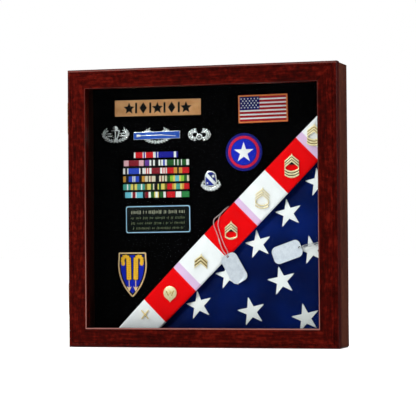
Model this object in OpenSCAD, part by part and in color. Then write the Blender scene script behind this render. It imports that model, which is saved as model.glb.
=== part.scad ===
// Folded flag display case: a glazed mahogany door hinged to a shallow box,
// with a folded flag in the lower right corner and keepsakes on a velvet board.
// The front faces -Y, +Z is up and the origin is the middle of the felt base.

/* [Case] */
// Width and height of the box behind the door
box_w = 455; // [450:1:470]
// Depth of the whole case, door included
case_d = 76.2; // [74:0.1:90]
// Thickness of the four side boards
board_t = 19.05; // [18:0.05:20]
// Thickness of the felt under the case
foot_t = 2; // [1.5:0.1:3]
// Thickness of the back panel
back_t = 3.2; // [2.6:0.1:4]
// Thickness of the velvet covered display board
velvet_t = 5; // [4:0.1:6]

/* [Door] */
// Width and height of the door frame
door_w = 457.2; // [456:0.1:472]
// Thickness of the door frame
door_t = 19.05; // [18:0.05:21]
// Width of the frame's face
face_w = 31.75; // [30:0.05:36]
// Radius of the rounded outer edge of the face
round_r = 4.8; // [3:0.1:5.5]
// Gap between the closed door and the box
door_gap = 0.6; // [0.5:0.1:1]
// Thickness of the glass pane
glass_t = 2.5; // [2:0.1:3]
// Width of the rabbet that holds the glass
rabbet_w = 7; // [6:0.1:8]
// Depth of the wood in front of the glass
lip_t = 8; // [7:0.1:9]

/* [Hinges and catches] */
// Height of each hinge
hinge_h = 50; // [40:1:60]
// Radius of the hinge knuckles
knuckle_r = 3; // [2.8:0.05:3.3]
// Radius of the hinge pins
pin_r = 1.5; // [1.3:0.05:1.7]
// Thickness of the hinge leaves
leaf_t = 1.2; // [1:0.05:1.5]
// Height of each hinge's middle from the middle of the door
hinge_from_middle = 150; // [120:1:170]
// Height of each magnetic catch from the middle of the door
catch_from_middle = 130; // [60:1:170]

/* [Folded flag] */
// Length of each short side of the folded triangle
flag_leg = 371.3; // [360:0.1:373]
// Thickness of the folded bundle
flag_t = 29.6; // [20:0.1:32]
// Width of the striped fold along the long side
band_w = 51.2; // [45:0.1:60]
// Thickness of the striped fold on the front
band_t = 1.4; // [1:0.1:2]

/* [Hanging] */
// Height of the hangers above the middle of the case
hanger_from_middle = 120; // [80:1:150]
// Radius of the hanging ring at the middle of its wire
ring_r = 10; // [9:0.1:12]
// Radius of the ring's wire
wire_r = 1.1; // [0.9:0.05:1.2]

/* [Hidden] */

mid_z = foot_t + box_w / 2;
front_y = -case_d / 2;
back_y = case_d / 2;
door_back_y = front_y + door_t;
box_front_y = door_back_y + door_gap;
box_d = back_y - box_front_y;
inner_half = box_w / 2 - board_t;
panel_rabbet = board_t / 2;
panel_half = box_w / 2 - panel_rabbet;
panel_y = back_y - back_t;
velvet_y = panel_y - velvet_t;
velvet_half = inner_half - 0.3;
glass_y = front_y + lip_t;
glass_half = door_w / 2 - face_w + rabbet_w - 0.5;
stop_y = glass_y + glass_t;
stop_t = door_t - lip_t - glass_t - 0.6;
screw_r = 1.4;
screw_line = inner_half + panel_rabbet / 2;

// The hinge axis runs up the left side, just outside the seam between door and box
axis_x = -door_w / 2 - knuckle_r - 0.4;
axis_y = (door_back_y + box_front_y) / 2;
leaf_w = 12;
knuckle_gap = 0.3;
knuckle_h = (hinge_h - 4 * knuckle_gap) / 5;
hinge_zs = [mid_z + hinge_from_middle, mid_z - hinge_from_middle];
leaf_screw_zs = [-17, 0, 17];
leaf_screw_x = axis_x + knuckle_r + 0.3 + leaf_w / 2;
catch_zs = [mid_z + catch_from_middle, mid_z - catch_from_middle];
catch_x = box_w / 2 - board_t / 2;
magnet_r = 4;
strike_r = 5;
strike_t = 1;

// The flag's square corner and the front of the bundle
flag_x = inner_half - 1.3;
flag_z = foot_t + board_t + 0.8;
flag_y = velvet_y - flag_t;
band_leg = band_w * sqrt(2);

hanger_z = mid_z + hanger_from_middle;
strap_t = 1.2;
eye_r = 2.5;
eye_y = back_y + eye_r + 0.1;

pin_xs = [-107.5, -63.5, -9.5, 42, 95, 145, 182];
pin_zs = [53.5, 87, 139, 191, 242.5, 294, 343];
ribbon_w = 38.8;
ribbon_h = 11.2;
ribbon_pitch = 13.3;
ribbon_x = -96.3;
ribbon_top_z = 318.3;
ribbon_mount_t = 1.5;

wood = "#5a1810";
brass = "#b08d4a";
steel = "#b9bcc0";
gold = "#c9a24a";
silver = "#c4c8cc";

// Puts an outline, drawn in x and y, on the display board at x and z, rising towards the glass
module on_board(x, z, lift = 0) translate([x, velvet_y - lift, z]) rotate([90, 0, 0]) children();
// The same on the front of the flag
module on_flag(x, z, lift = 0) translate([x, flag_y - lift, z]) rotate([90, 0, 0]) children();

module countersunk_screw(length) {
    cylinder(h = 1.6, r1 = screw_r, r2 = 2.7, $fn = 32);
    translate([0, 0, -length]) cylinder(h = length + 0.01, r = screw_r, $fn = 32);
    translate([0, 0, -length - 2]) cylinder(h = 2.01, r1 = 0.3, r2 = screw_r, $fn = 32);
}
module pan_screw(length) {
    rotate_extrude($fn = 40) union() {
        translate([0, -length]) square([screw_r, length + 0.5]);
        intersection() {
            square([3, 1.7]);
            translate([0, -1.6]) circle(r = 3.3, $fn = 48);
        }
    }
}

// A side board lying along X at the bottom of the box, mitred at both ends
module side_board() {
    color(wood) intersection() {
        translate([-box_w / 2, box_front_y, foot_t]) difference() {
            cube([box_w, box_d, board_t]);
            translate([-1, box_d - back_t, panel_rabbet]) cube([box_w + 2, back_t + 1, board_t]);
        }
        translate([0, back_y + 1, foot_t]) rotate([90, 0, 0]) linear_extrude(box_d + 2)
            polygon([[-box_w / 2, 0], [box_w / 2, 0], [0, box_w / 2]]);
    }
}
module turned(angle) translate([0, 0, mid_z]) rotate([0, angle, 0]) translate([0, 0, -mid_z]) children();

module base_felt() color("#1c1c1c")
    translate([-box_w / 2 + 1, box_front_y + 1, 0]) cube([box_w - 2, box_d - 2, foot_t]);
module bottom_board() side_board();
module top_board() turned(180) side_board();
module left_board() difference() {
    turned(90) side_board();
    for (z = hinge_zs) leaf_mortise(z, box_front_y, 1);
}
module right_board() difference() {
    turned(-90) side_board();
    for (z = catch_zs) translate([catch_x, box_front_y - 1, z]) rotate([-90, 0, 0])
        cylinder(h = 7.1, r = magnet_r + 0.05, $fn = 48);
}
module back_panel() color("#3a2a22") difference() {
    translate([-panel_half + 0.3, panel_y, mid_z - panel_half + 0.3])
        cube([2 * panel_half - 0.6, back_t, 2 * panel_half - 0.6]);
    panel_screw_places() translate([0, 0, -back_t - 1]) cylinder(h = back_t + 2, r = 1.6, $fn = 32);
    hanger_screw_places() translate([0, 0, -back_t - 1]) cylinder(h = back_t + 2, r = 1.6, $fn = 32);
}
module panel_screw_places() {
    for (turn = [0 : 90 : 270]) turned(turn) for (x = [-150, 0, 150])
        translate([x, back_y, mid_z - screw_line]) rotate([-90, 0, 0]) children();
}
module back_panel_screws() color(steel) panel_screw_places() pan_screw(11);
module display_board() color("#0b0b0d")
    translate([-velvet_half, velvet_y, mid_z - velvet_half]) cube([2 * velvet_half, velvet_t, 2 * velvet_half]);

// A pocket for one hinge leaf, open to the left; side is 1 into the box and -1 into the door
module leaf_mortise(z, face_y, side) {
    y0 = side > 0 ? face_y - 1 : face_y - leaf_t;
    translate([-door_w / 2 - 1, y0, z - hinge_h / 2 - 0.1])
        cube([axis_x + door_w / 2 + 1 + knuckle_r + 0.5 + leaf_w, leaf_t + 1, hinge_h + 0.2]);
}
// One leaf of a butt hinge: a flat plate with its share of the knuckles
module hinge_leaf(z, face_y, side, knuckles) {
    y0 = side > 0 ? face_y : face_y - leaf_t;
    color(brass) translate([0, 0, z - hinge_h / 2]) difference() {
        union() {
            translate([axis_x + knuckle_r + 0.3, y0, 0]) cube([leaf_w, leaf_t, hinge_h]);
            for (k = knuckles) translate([axis_x, 0, k * (knuckle_h + knuckle_gap)]) {
                translate([0, axis_y, 0]) cylinder(h = knuckle_h, r = knuckle_r, $fn = 64);
                translate([0, y0, 0]) cube([knuckle_r + 1, leaf_t, knuckle_h]);
            }
        }
        translate([axis_x, axis_y, -1]) cylinder(h = hinge_h + 2, r = pin_r + 0.05, $fn = 64);
        for (s = leaf_screw_zs) translate([leaf_screw_x, y0 + (side > 0 ? 0 : leaf_t), hinge_h / 2 + s])
            rotate([side > 0 ? 90 : -90, 0, 0]) translate([0, 0, -leaf_t]) {
                translate([0, 0, -1]) cylinder(h = leaf_t + 2, r = screw_r + 0.1, $fn = 32);
                cylinder(h = leaf_t + 0.01, r1 = screw_r + 0.1, r2 = 2.7, $fn = 32);
            }
    }
}
module upper_hinge_case_leaf() hinge_leaf(hinge_zs[0], box_front_y, 1, [0, 2, 4]);
module lower_hinge_case_leaf() hinge_leaf(hinge_zs[1], box_front_y, 1, [0, 2, 4]);
module upper_hinge_door_leaf() hinge_leaf(hinge_zs[0], door_back_y, -1, [1, 3]);
module lower_hinge_door_leaf() hinge_leaf(hinge_zs[1], door_back_y, -1, [1, 3]);
module hinge_pins() color(brass) for (z = hinge_zs) translate([axis_x, axis_y, z]) {
    cylinder(h = hinge_h + 1, r = pin_r, center = true, $fn = 64);
    for (end = [-1, 1]) translate([0, 0, end * (hinge_h / 2 + 1)])
        cylinder(h = 1.6, r = knuckle_r - 0.3, center = true, $fn = 64);
}
module leaf_screws(face_y, side) color(brass) for (z = hinge_zs, s = leaf_screw_zs)
    translate([leaf_screw_x, face_y, z + s]) rotate([side > 0 ? 90 : -90, 0, 0])
        translate([0, 0, -1.25]) intersection() {
            translate([0, 0, 0.05]) countersunk_screw(7);
            translate([0, 0, -20]) cylinder(h = 21.2, r = 4, $fn = 32);
        }
module hinge_case_screws() leaf_screws(box_front_y, 1);
module hinge_door_screws() leaf_screws(door_back_y, -1);

module catch_magnets() color(steel) for (z = catch_zs)
    translate([catch_x, box_front_y - 0.1, z]) rotate([-90, 0, 0]) cylinder(h = 6, r = magnet_r, $fn = 48);
module strike_plates() color(steel) for (z = catch_zs) translate([catch_x, door_back_y, z]) rotate([90, 0, 0])
    difference() {
        cylinder(h = strike_t, r = strike_r, $fn = 48);
        translate([0, 0, -0.5]) cylinder(h = 0.9, r = 1.2, $fn = 24);
    }

// The section of the door frame: x runs in from the outer edge, y back from the face
module frame_section() difference() {
    square([face_w, door_t]);
    difference() {
        translate([-1, -1]) square([round_r + 1, round_r + 1]);
        translate([round_r, round_r]) circle(r = round_r, $fn = 64);
    }
    translate([round_r + 1.4, -1]) square([1.1, 1.7]);
    translate([face_w - 1.2, -1.2]) rotate(45) translate([0, -2]) square([4, 2]);
    translate([face_w - rabbet_w, lip_t]) square([rabbet_w + 1, door_t]);
}
// One mitred member lying along X at the bottom of the door
module frame_member() color(wood) intersection() {
    translate([-door_w / 2, front_y, mid_z - door_w / 2]) rotate([90, 0, 90]) linear_extrude(door_w)
        mirror([1, -1]) frame_section();
    translate([0, front_y + door_t + 1, mid_z - door_w / 2]) rotate([90, 0, 0]) linear_extrude(door_t + 2)
        polygon([[-door_w / 2, 0], [door_w / 2, 0], [0, door_w / 2]]);
}
module door_bottom_rail() frame_member();
module door_top_rail() turned(180) frame_member();
module door_left_stile() difference() {
    turned(90) frame_member();
    for (z = hinge_zs) leaf_mortise(z, door_back_y, -1);
}
module door_right_stile() difference() {
    turned(-90) frame_member();
    for (z = catch_zs) translate([catch_x, door_back_y + 1, z]) rotate([90, 0, 0])
        cylinder(h = strike_t + 1.02, r = strike_r + 0.05, $fn = 48);
}
module glass_pane() color("#cfe0e6", 0.3)
    translate([-glass_half, glass_y, mid_z - glass_half]) cube([2 * glass_half, glass_t, 2 * glass_half]);
// A mitred strip that holds the glass in its rabbet, lying along X at the bottom
module glass_stop() color(wood) intersection() {
    translate([-glass_half, stop_y + 0.05, mid_z - glass_half])
        cube([2 * glass_half, stop_t, rabbet_w - 0.5]);
    translate([0, door_back_y + 5, mid_z - glass_half]) rotate([90, 0, 0]) linear_extrude(door_t + 5)
        polygon([[-glass_half, 0], [glass_half, 0], [0, glass_half]]);
}
module glass_stop_bottom() glass_stop();
module glass_stop_top() turned(180) glass_stop();
module glass_stop_left() turned(90) glass_stop();
module glass_stop_right() turned(-90) glass_stop();

// The folded bundle: a triangle with its square corner at the lower right
module folded_flag() color("#0d1c50") hull() {
    r = 6;
    far = flag_leg - 1;
    for (p = [[-r, r], [-far + r * 2.4, r], [-r, far - r * 2.4]])
        translate([flag_x + p[0], flag_y + flag_t, flag_z + p[1]]) rotate([90, 0, 0]) {
            translate([0, 0, 2]) cylinder(h = flag_t - 4, r = r, $fn = 32);
            cylinder(h = flag_t, r = r - 2, $fn = 32);
        }
}
// The striped fold: a flap on the front along the long side that turns over its edge
module striped_fold() color("#d8222a") {
    ends = flag_leg;
    translate([flag_x, flag_y, flag_z]) rotate([90, 0, 0]) linear_extrude(band_t)
        polygon([[-ends, 0], [0, ends], [0, ends - band_leg], [-ends + band_leg, 0]]);
    translate([flag_x, velvet_y - 2, flag_z]) rotate([90, 0, 0]) linear_extrude(flag_t + band_t - 2)
        polygon([[-ends - 1, 0], [0, ends + 1], [0, ends - 0.4], [-ends + 0.4, 0]]);
}

module name_tape() color("#b08a5c") on_board(-93.5, 397) linear_extrude(1.4) square([151, 27], center = true);
module flag_patch() color("#c98a3a") on_board(89.5, 389.5) linear_extrude(2) square([86.5, 48.5], center = true);
module round_patch() color("#23307c") on_board(55.8, 319.5) cylinder(h = 2.2, r = 31.2, $fn = 96);
// A heater shield with its flat top at the origin
module shield_outline(w, h) intersection() {
    translate([-w / 2, -h]) square([w, h]);
    translate([-w * 0.98, -h * 0.34]) circle(r = w * 1.48, $fn = 128);
    translate([w * 0.98, -h * 0.34]) circle(r = w * 1.48, $fn = 128);
}
module shield_patch() color("#c9a24a") on_board(-139.2, 157.5) linear_extrude(2.2) shield_outline(51.5, 76);

// An open oval wreath with its opening at the top
module wreath(w, h, band) difference() {
    scale([w / h, 1]) circle(d = h, $fn = 96);
    scale([(w - 2 * band) / (h - 2 * band), 1]) circle(d = h - 2 * band, $fn = 96);
    translate([-w * 0.13, 0]) square([w * 0.26, h]);
}
module wreath_badge_left() color(silver) on_board(-168, 354) {
    linear_extrude(2) wreath(47.5, 28, 6);
    translate([0, -1]) linear_extrude(3) union() {
        shield_at(16, 19);
        translate([-22, -1.6]) square([44, 3.2]);
    }
}
module shield_at(w, h) translate([0, h / 2]) shield_outline(w, h);
module bar_badge_middle() color(silver) on_board(-94.8, 350.8) {
    linear_extrude(2) wreath(50.5, 28, 5);
    linear_extrude(3) square([82, 13], center = true);
}
module wreath_badge_right() color(silver) on_board(-20.6, 350) {
    linear_extrude(2) wreath(42, 22, 5);
    linear_extrude(3) union() {
        square([40, 3], center = true);
        circle(r = 5.5, $fn = 48);
    }
}

module ribbon_mount() color(steel) on_board(ribbon_x, ribbon_top_z) linear_extrude(ribbon_mount_t) union() {
    translate([-ribbon_w + 3, -ribbon_h / 2 + 2]) square([2 * ribbon_w - 6, ribbon_h - 4]);
    translate([-1.5 * ribbon_w + 3, -5 * ribbon_pitch - ribbon_h / 2 + 2])
        square([3 * ribbon_w - 6, 4 * ribbon_pitch + ribbon_h - 4]);
}
module ribbon_row(row) {
    count = row == 1 ? 2 : 3;
    color([0.2 + 0.1 * row, 0.15, 0.6 - 0.08 * row])
        on_board(ribbon_x, ribbon_top_z - (row - 1) * ribbon_pitch, ribbon_mount_t)
        for (k = [0 : count - 1]) translate([(k - (count - 1) / 2) * ribbon_w, 0])
            linear_extrude(2) square([ribbon_w - 0.2, ribbon_h], center = true);
}
module ribbon_row_1() ribbon_row(1);
module ribbon_row_2() ribbon_row(2);
module ribbon_row_3() ribbon_row(3);
module ribbon_row_4() ribbon_row(4);
module ribbon_row_5() ribbon_row(5);
module ribbon_row_6() ribbon_row(6);

module crest_pin() color(silver) on_board(-1.4, 273) {
    linear_extrude(3) translate([0, 16.5]) shield_outline(24, 29);
    linear_extrude(2) translate([-17, -16.5]) square([34, 10]);
}
module plaque() color("#16261f") on_board(-93.7, 211) linear_extrude(2)
    union() {
        square([115, 39], center = true);
        square([107, 47], center = true);
        for (x = [-53.5, 53.5], y = [-19.5, 19.5]) translate([x, y]) circle(r = 4, $fn = 48);
    }

// A rank pin: chevrons over a rocker, as a closed plate
module rank_plate(w, h) linear_extrude(1.8)
    polygon([[0, h / 2], [w / 2, h * 0.18], [w / 2, -h * 0.32], [w * 0.3, -h * 0.46], [0, -h / 2],
        [-w * 0.3, -h * 0.46], [-w / 2, -h * 0.32], [-w / 2, h * 0.18]]);
module rank_pin(k, w, h) color(gold) on_flag(pin_xs[k - 1], pin_zs[k - 1], band_t) rank_plate(w, h);
module rank_pin_1() color(gold) on_flag(pin_xs[0], pin_zs[0], band_t) linear_extrude(1.5) union() {
    for (turn = [-40, 40]) rotate(turn) square([2.4, 19], center = true);
    circle(r = 3, $fn = 32);
}
module rank_pin_2() color(gold) on_flag(pin_xs[1], pin_zs[1], band_t) linear_extrude(1.8) union() {
    translate([0, 2]) circle(r = 11.4, $fn = 64);
    polygon([[-8.2, 0], [-8.2, -5.2], [0, -13.2], [8.2, -5.2], [8.2, 0]]);
}
module rank_pin_3() rank_pin(3, 23, 26);
module rank_pin_4() rank_pin(4, 21, 30);
module rank_pin_5() rank_pin(5, 23, 34);
module rank_pin_6() rank_pin(6, 24.5, 40);
module rank_pin_7() rank_pin(7, 22, 37);

// An identity tag hanging from its hole at the origin, with a rolled rim
module tag() color(silver) rotate([90, 0, 0]) difference() {
    union() {
        linear_extrude(0.6) tag_outline(28.6);
        linear_extrude(1.1) difference() {
            tag_outline(28.6);
            translate([0, -0.9]) scale([0.937, 0.962]) tag_outline(28.6);
        }
    }
    translate([0, 0, -1]) cylinder(h = 3, r = 2, $fn = 32);
}
module tag_outline(w) union() {
    translate([-w / 2, -38.6]) square([w, 32.8]);
    translate([-w / 2 + 9, -47.2]) square([w - 18, 50.4]);
    for (x = [-w / 2 + 9, w / 2 - 9]) {
        translate([x, -38.6 + 0.4]) circle(r = 9, $fn = 64);
        translate([x, -5.8]) circle(r = 9, $fn = 64);
    }
}
// The tags lean back, from the chain at the hole to the flag at the far end
tag_lean = 3.6;
left_tag_at = [36.4, flag_y - 3.7, 148.4];
right_tag_at = [157, flag_y - 3.7, 162];
module left_tag() translate(left_tag_at) rotate([0, -29, 0]) rotate([tag_lean, 0, 0]) tag();
module right_tag() translate(right_tag_at) rotate([0, 71, 0]) rotate([tag_lean, 0, 0]) tag();

// Ball chain laid as a narrow loop through the tag's hole; its two ends meet in the connector.
// Each point of a route is x, distance before the flag, z.
chain_r = 0.9;
chain_steps = 3;
left_chain_route = [
    [21.2, 2.8, 177], [17.7, 2.6, 187], [13.6, 2.7, 199], [14.4, 0.5, 206.6], [20, -4, 212.5],
    [27, -9, 219.4], [32.4, -13, 224.6], [36, -11, 227.6], [34.4, -6, 225.2], [30, -1, 220.6],
    [24.6, 2.7, 213], [20.6, 2.6, 206], [19.9, 2.5, 199], [22.8, 2.5, 188], [26.6, 2.5, 176],
    [31.4, 2.5, 165], [35.4, 2.5, 157], [36.6, 2.45, 152], [36.4, 2.5, 149.2], [36.3, 4.4, 148.4],
    [35.2, 6.1, 149.8], [33, 6, 152.4], [30, 4.4, 155.6], [26.6, 3, 160.5], [23.4, 2.8, 169]];
right_chain_route = [
    [195, 1.5, 166.8], [201, 1.3, 168], [204.5, 1.3, 170], [201, 1.3, 171.6], [190, 1.3, 170],
    [176, 1.4, 167.6], [166, 1.8, 165.8], [160, 2.4, 163.6], [157.8, 2.5, 162.2], [157, 4.4, 162],
    [159, 6.1, 162.2], [162.6, 6, 162.6], [167, 4, 163], [173, 2, 163.6], [180, 1.5, 164.6], [190, 1.5, 166]];
function unit(v) = v / norm(v);
function laid(p) = [p[0], flag_y - p[1], p[2]];
// A smooth curve through the route's points
function blend_of(a, b, c, d, t) = 0.5 * (2 * b + (c - a) * t + (2 * a - 5 * b + 4 * c - d) * t * t
    + (3 * b - a - 3 * c + d) * t * t * t);
function smooth(p) = [for (i = [0 : len(p) - 2], k = [0 : chain_steps - 1])
    blend_of(p[max(i - 1, 0)], p[i], p[i + 1], p[min(i + 2, len(p) - 1)], k / chain_steps), p[len(p) - 1]];
function tangents(p) = [for (i = [0 : len(p) - 1]) unit(p[min(i + 1, len(p) - 1)] - p[max(i - 1, 0)])];
// Each ring's first spoke is the one before it, turned no more than the route turns
function spoke(t, i) = i == 0 ? unit(cross(t[0], [0.1, 1, 0]))
    : let (n = spoke(t, i - 1)) unit(n - (n * t[i]) * t[i]);
module tube(route, r, sides = 8) {
    p = smooth([for (q = route) laid(q)]);
    t = tangents(p);
    last = len(p) - 1;
    points = [for (i = [0 : last]) let (n = spoke(t, i), m = cross(t[i], n))
        for (k = [0 : sides - 1]) p[i] + r * (cos(360 * k / sides) * n + sin(360 * k / sides) * m)];
    walls = [for (i = [0 : last - 1], k = [0 : sides - 1]) let (j = (k + 1) % sides)
        [i * sides + j, i * sides + k, (i + 1) * sides + k, (i + 1) * sides + j]];
    caps = [[for (k = [0 : sides - 1]) k], [for (k = [sides - 1 : -1 : 0]) last * sides + k]];
    polyhedron(points = points, faces = concat(walls, caps), convexity = 10);
}
module chain(route) color(silver) {
    a = laid(route[len(route) - 1]);
    b = laid(route[0]);
    d = b - a;
    tube(route, chain_r);
    translate(a - unit(d)) rotate([0, acos(d[2] / norm(d)), atan2(d[1], d[0])])
        cylinder(h = norm(d) + 2, r = 1.25, $fn = 32);
}
module left_tag_chain() chain(left_chain_route);
module right_tag_chain() chain(right_chain_route);

// A strap hanger: a plate with a rolled eye at its upper end that holds the ring
module hanger_screw_places() for (side = [-1, 1], down = [10, 22])
    translate([side * screw_line, back_y, hanger_z - down]) rotate([-90, 0, 0]) children();
module hanger_plate(side) color(brass) difference() {
    union() {
        translate([side * screw_line - 4, back_y, hanger_z - 28]) cube([8, strap_t, 28]);
        translate([side * screw_line - 4, eye_y, hanger_z]) rotate([0, 90, 0]) cylinder(h = 8, r = eye_r, $fn = 48);
    }
    translate([side * screw_line - 5, eye_y, hanger_z]) rotate([0, 90, 0])
        cylinder(h = 10, r = wire_r + 0.1, $fn = 48);
    hanger_screw_places() {
        translate([0, 0, -1]) cylinder(h = 4, r = 1.6, $fn = 32);
        cylinder(h = strap_t + 0.01, r1 = 1.6, r2 = 2.8, $fn = 32);
    }
}
module left_hanger_plate() hanger_plate(-1);
module right_hanger_plate() hanger_plate(1);
module hanger_screws() color(brass) hanger_screw_places() intersection() {
    countersunk_screw(10);
    translate([0, 0, -20]) cylinder(h = 20 + strap_t - 0.02, r = 4, $fn = 32);
}
// A D shaped ring hanging from the eye
module hanger_ring(side) color(brass) translate([side * screw_line, eye_y, hanger_z]) {
    rotate([0, 90, 0]) cylinder(h = 2 * ring_r, r = wire_r, center = true, $fn = 48);
    for (end = [-1, 1]) translate([end * ring_r, 0, 0]) sphere(r = wire_r, $fn = 48);
    rotate([90, 0, 0]) rotate([0, 0, 180]) rotate_extrude(angle = 180, $fn = 96)
        translate([ring_r, 0]) circle(r = wire_r, $fn = 32);
}
module left_hanger_ring() hanger_ring(-1);
module right_hanger_ring() hanger_ring(1);

base_felt();
top_board();
bottom_board();
left_board();
right_board();
back_panel();
back_panel_screws();
display_board();
upper_hinge_case_leaf();
lower_hinge_case_leaf();
hinge_pins();
hinge_case_screws();
catch_magnets();
folded_flag();
striped_fold();
name_tape();
flag_patch();
round_patch();
shield_patch();
wreath_badge_left();
bar_badge_middle();
wreath_badge_right();
ribbon_mount();
ribbon_row_1();
ribbon_row_2();
ribbon_row_3();
ribbon_row_4();
ribbon_row_5();
ribbon_row_6();
crest_pin();
plaque();
rank_pin_1();
rank_pin_2();
rank_pin_3();
rank_pin_4();
rank_pin_5();
rank_pin_6();
rank_pin_7();
left_tag();
right_tag();
left_tag_chain();
right_tag_chain();
left_hanger_plate();
right_hanger_plate();
hanger_screws();
left_hanger_ring();
right_hanger_ring();
door_top_rail();
door_bottom_rail();
door_left_stile();
door_right_stile();
glass_pane();
glass_stop_top();
glass_stop_bottom();
glass_stop_left();
glass_stop_right();
upper_hinge_door_leaf();
lower_hinge_door_leaf();
hinge_door_screws();
strike_plates();
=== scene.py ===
# %% [markdown]
# # A flag display case, piece by piece
# A shallow mahogany box stands on its edge. A glazed door closes its front, and inside, a folded flag
# fills the lower right corner of a black velvet board that also holds patches, badges and ribbons.
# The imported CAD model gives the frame: its wood, glass and hinges stay and only get finishes.
# Everything soft or finely made is modelled again here, in metres, where the CAD says it is.

# %% Load the frame
import math
import random

import bmesh
import bpy
from mathutils import Matrix, Vector, noise


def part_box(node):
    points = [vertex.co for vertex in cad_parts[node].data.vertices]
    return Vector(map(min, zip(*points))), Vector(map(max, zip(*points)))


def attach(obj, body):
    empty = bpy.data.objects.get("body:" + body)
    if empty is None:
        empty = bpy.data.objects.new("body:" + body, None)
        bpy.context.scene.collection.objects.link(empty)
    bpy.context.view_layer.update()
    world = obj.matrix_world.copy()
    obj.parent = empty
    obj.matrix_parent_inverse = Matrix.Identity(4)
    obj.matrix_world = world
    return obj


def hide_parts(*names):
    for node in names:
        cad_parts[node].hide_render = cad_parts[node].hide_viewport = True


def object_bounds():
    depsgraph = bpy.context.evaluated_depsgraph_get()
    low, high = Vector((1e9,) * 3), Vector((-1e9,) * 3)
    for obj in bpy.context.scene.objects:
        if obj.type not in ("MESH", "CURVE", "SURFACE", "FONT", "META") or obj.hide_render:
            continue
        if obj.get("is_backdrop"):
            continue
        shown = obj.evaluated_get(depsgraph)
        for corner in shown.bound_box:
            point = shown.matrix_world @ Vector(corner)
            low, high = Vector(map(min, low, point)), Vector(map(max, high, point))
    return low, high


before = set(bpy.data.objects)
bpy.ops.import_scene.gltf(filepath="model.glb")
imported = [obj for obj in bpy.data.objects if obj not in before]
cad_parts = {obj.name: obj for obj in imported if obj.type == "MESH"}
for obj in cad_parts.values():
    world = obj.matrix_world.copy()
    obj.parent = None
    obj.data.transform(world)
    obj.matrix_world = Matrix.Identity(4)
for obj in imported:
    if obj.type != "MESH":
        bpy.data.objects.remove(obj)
cad_low, cad_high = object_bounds()
MM = 0.001
print("case size in mm:", [round(v / MM, 1) for v in cad_high - cad_low])

# %% [markdown]
# ## The camera
# A long lens from three metres keeps the frame's upright edges almost parallel. It stands a little to
# the right and low, so the right side of the box and the left inner wall both show.

# %% Camera
CAMERA_AT = (0.9429, -3.0221, 0.1557)
YAW, PITCH, ROLL = math.radians(17.288), math.radians(1.304), math.radians(-0.455)
lens = bpy.data.cameras.new("camera")
FOCAL_LENGTH, SENSOR = 167.6, 36
lens.lens = FOCAL_LENGTH
lens.sensor_width = SENSOR
camera = bpy.data.objects.new("camera", lens)
look = Matrix.Rotation(YAW, 4, "Z") @ Matrix.Rotation(math.pi / 2 + PITCH, 4, "X")
look = look @ Matrix.Rotation(ROLL, 4, "Z")
camera.matrix_world = Matrix.Translation(CAMERA_AT) @ look
bpy.context.scene.collection.objects.link(camera)
bpy.context.scene.camera = camera
print("camera distance in m:", round(Vector(CAMERA_AT).length, 2))

# %% [markdown]
# ## Colour and nodes
# Colours are written as the hex codes a designer uses, which are sRGB. Shaders add up light, so each
# code is turned to linear first. One helper adds any node, sets its options and joins its inputs.
# Where a node has several inputs of one name, a number picks one by its place: a Map Range's 1 to 4
# are From Min, From Max, To Min and To Max, and a colour Mix has its factor at 0 and colours at 6 and 7.

# %% Colour helper
def linear(code):
    """An sRGB hex code as the linear colour that a shader wants."""
    parts = [int(code[i : i + 2], 16) / 255 for i in (1, 3, 5)]
    return (*[p / 12.92 if p <= 0.04045 else ((p + 0.055) / 1.055) ** 2.4 for p in parts], 1.0)


print("white is", linear("#ffffff"), "and mid grey is", round(linear("#808080")[0], 3))


# %% Node helpers
def node(tree, kind, inputs=None, **settings):
    """Adds a node. An input, by name or number, takes a value, or the output socket that feeds it."""
    new = tree.nodes.new("ShaderNode" + kind)
    for name, value in settings.items():
        setattr(new, name, value)
    for name, value in (inputs or {}).items():
        if isinstance(value, bpy.types.NodeSocket):
            tree.links.new(value, new.inputs[name])
        else:
            new.inputs[name].default_value = value
    return new


def start_material(name, **surface):
    """A new material with one Principled surface, whose own sockets hold the even values."""
    made = bpy.data.materials.new(name)
    made.use_nodes = True
    skin = made.node_tree.nodes["Principled BSDF"]
    for socket, value in surface.items():
        skin.inputs[socket.replace("_", " ")].default_value = value
    return made, made.node_tree, skin


def ramp(tree, factor, stops, interpolation="LINEAR"):
    """Colours along a factor: stops are (place, hex code), in order."""
    made = node(tree, "ValToRGB", {"Fac": factor})
    bar = made.color_ramp
    bar.interpolation = interpolation
    while len(bar.elements) < len(stops):
        bar.elements.new(1.0)
    for element, (place, code) in zip(bar.elements, stops):
        element.position = place
        element.color = linear(code)
    return made.outputs["Color"]


def roughen(tree, skin, height, distance, strength=1.0):
    """Feeds a height into the surface's normal as a bump, with its depth in metres."""
    bump = node(tree, "Bump", {"Height": height, "Distance": distance, "Strength": strength})
    tree.links.new(bump.outputs["Normal"], skin.inputs["Normal"])


# A wave texture at scale 1 repeats every 0.314 m
WAVE_PERIOD = 0.314
print("a wave at scale 1 repeats every", WAVE_PERIOD, "m")
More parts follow.
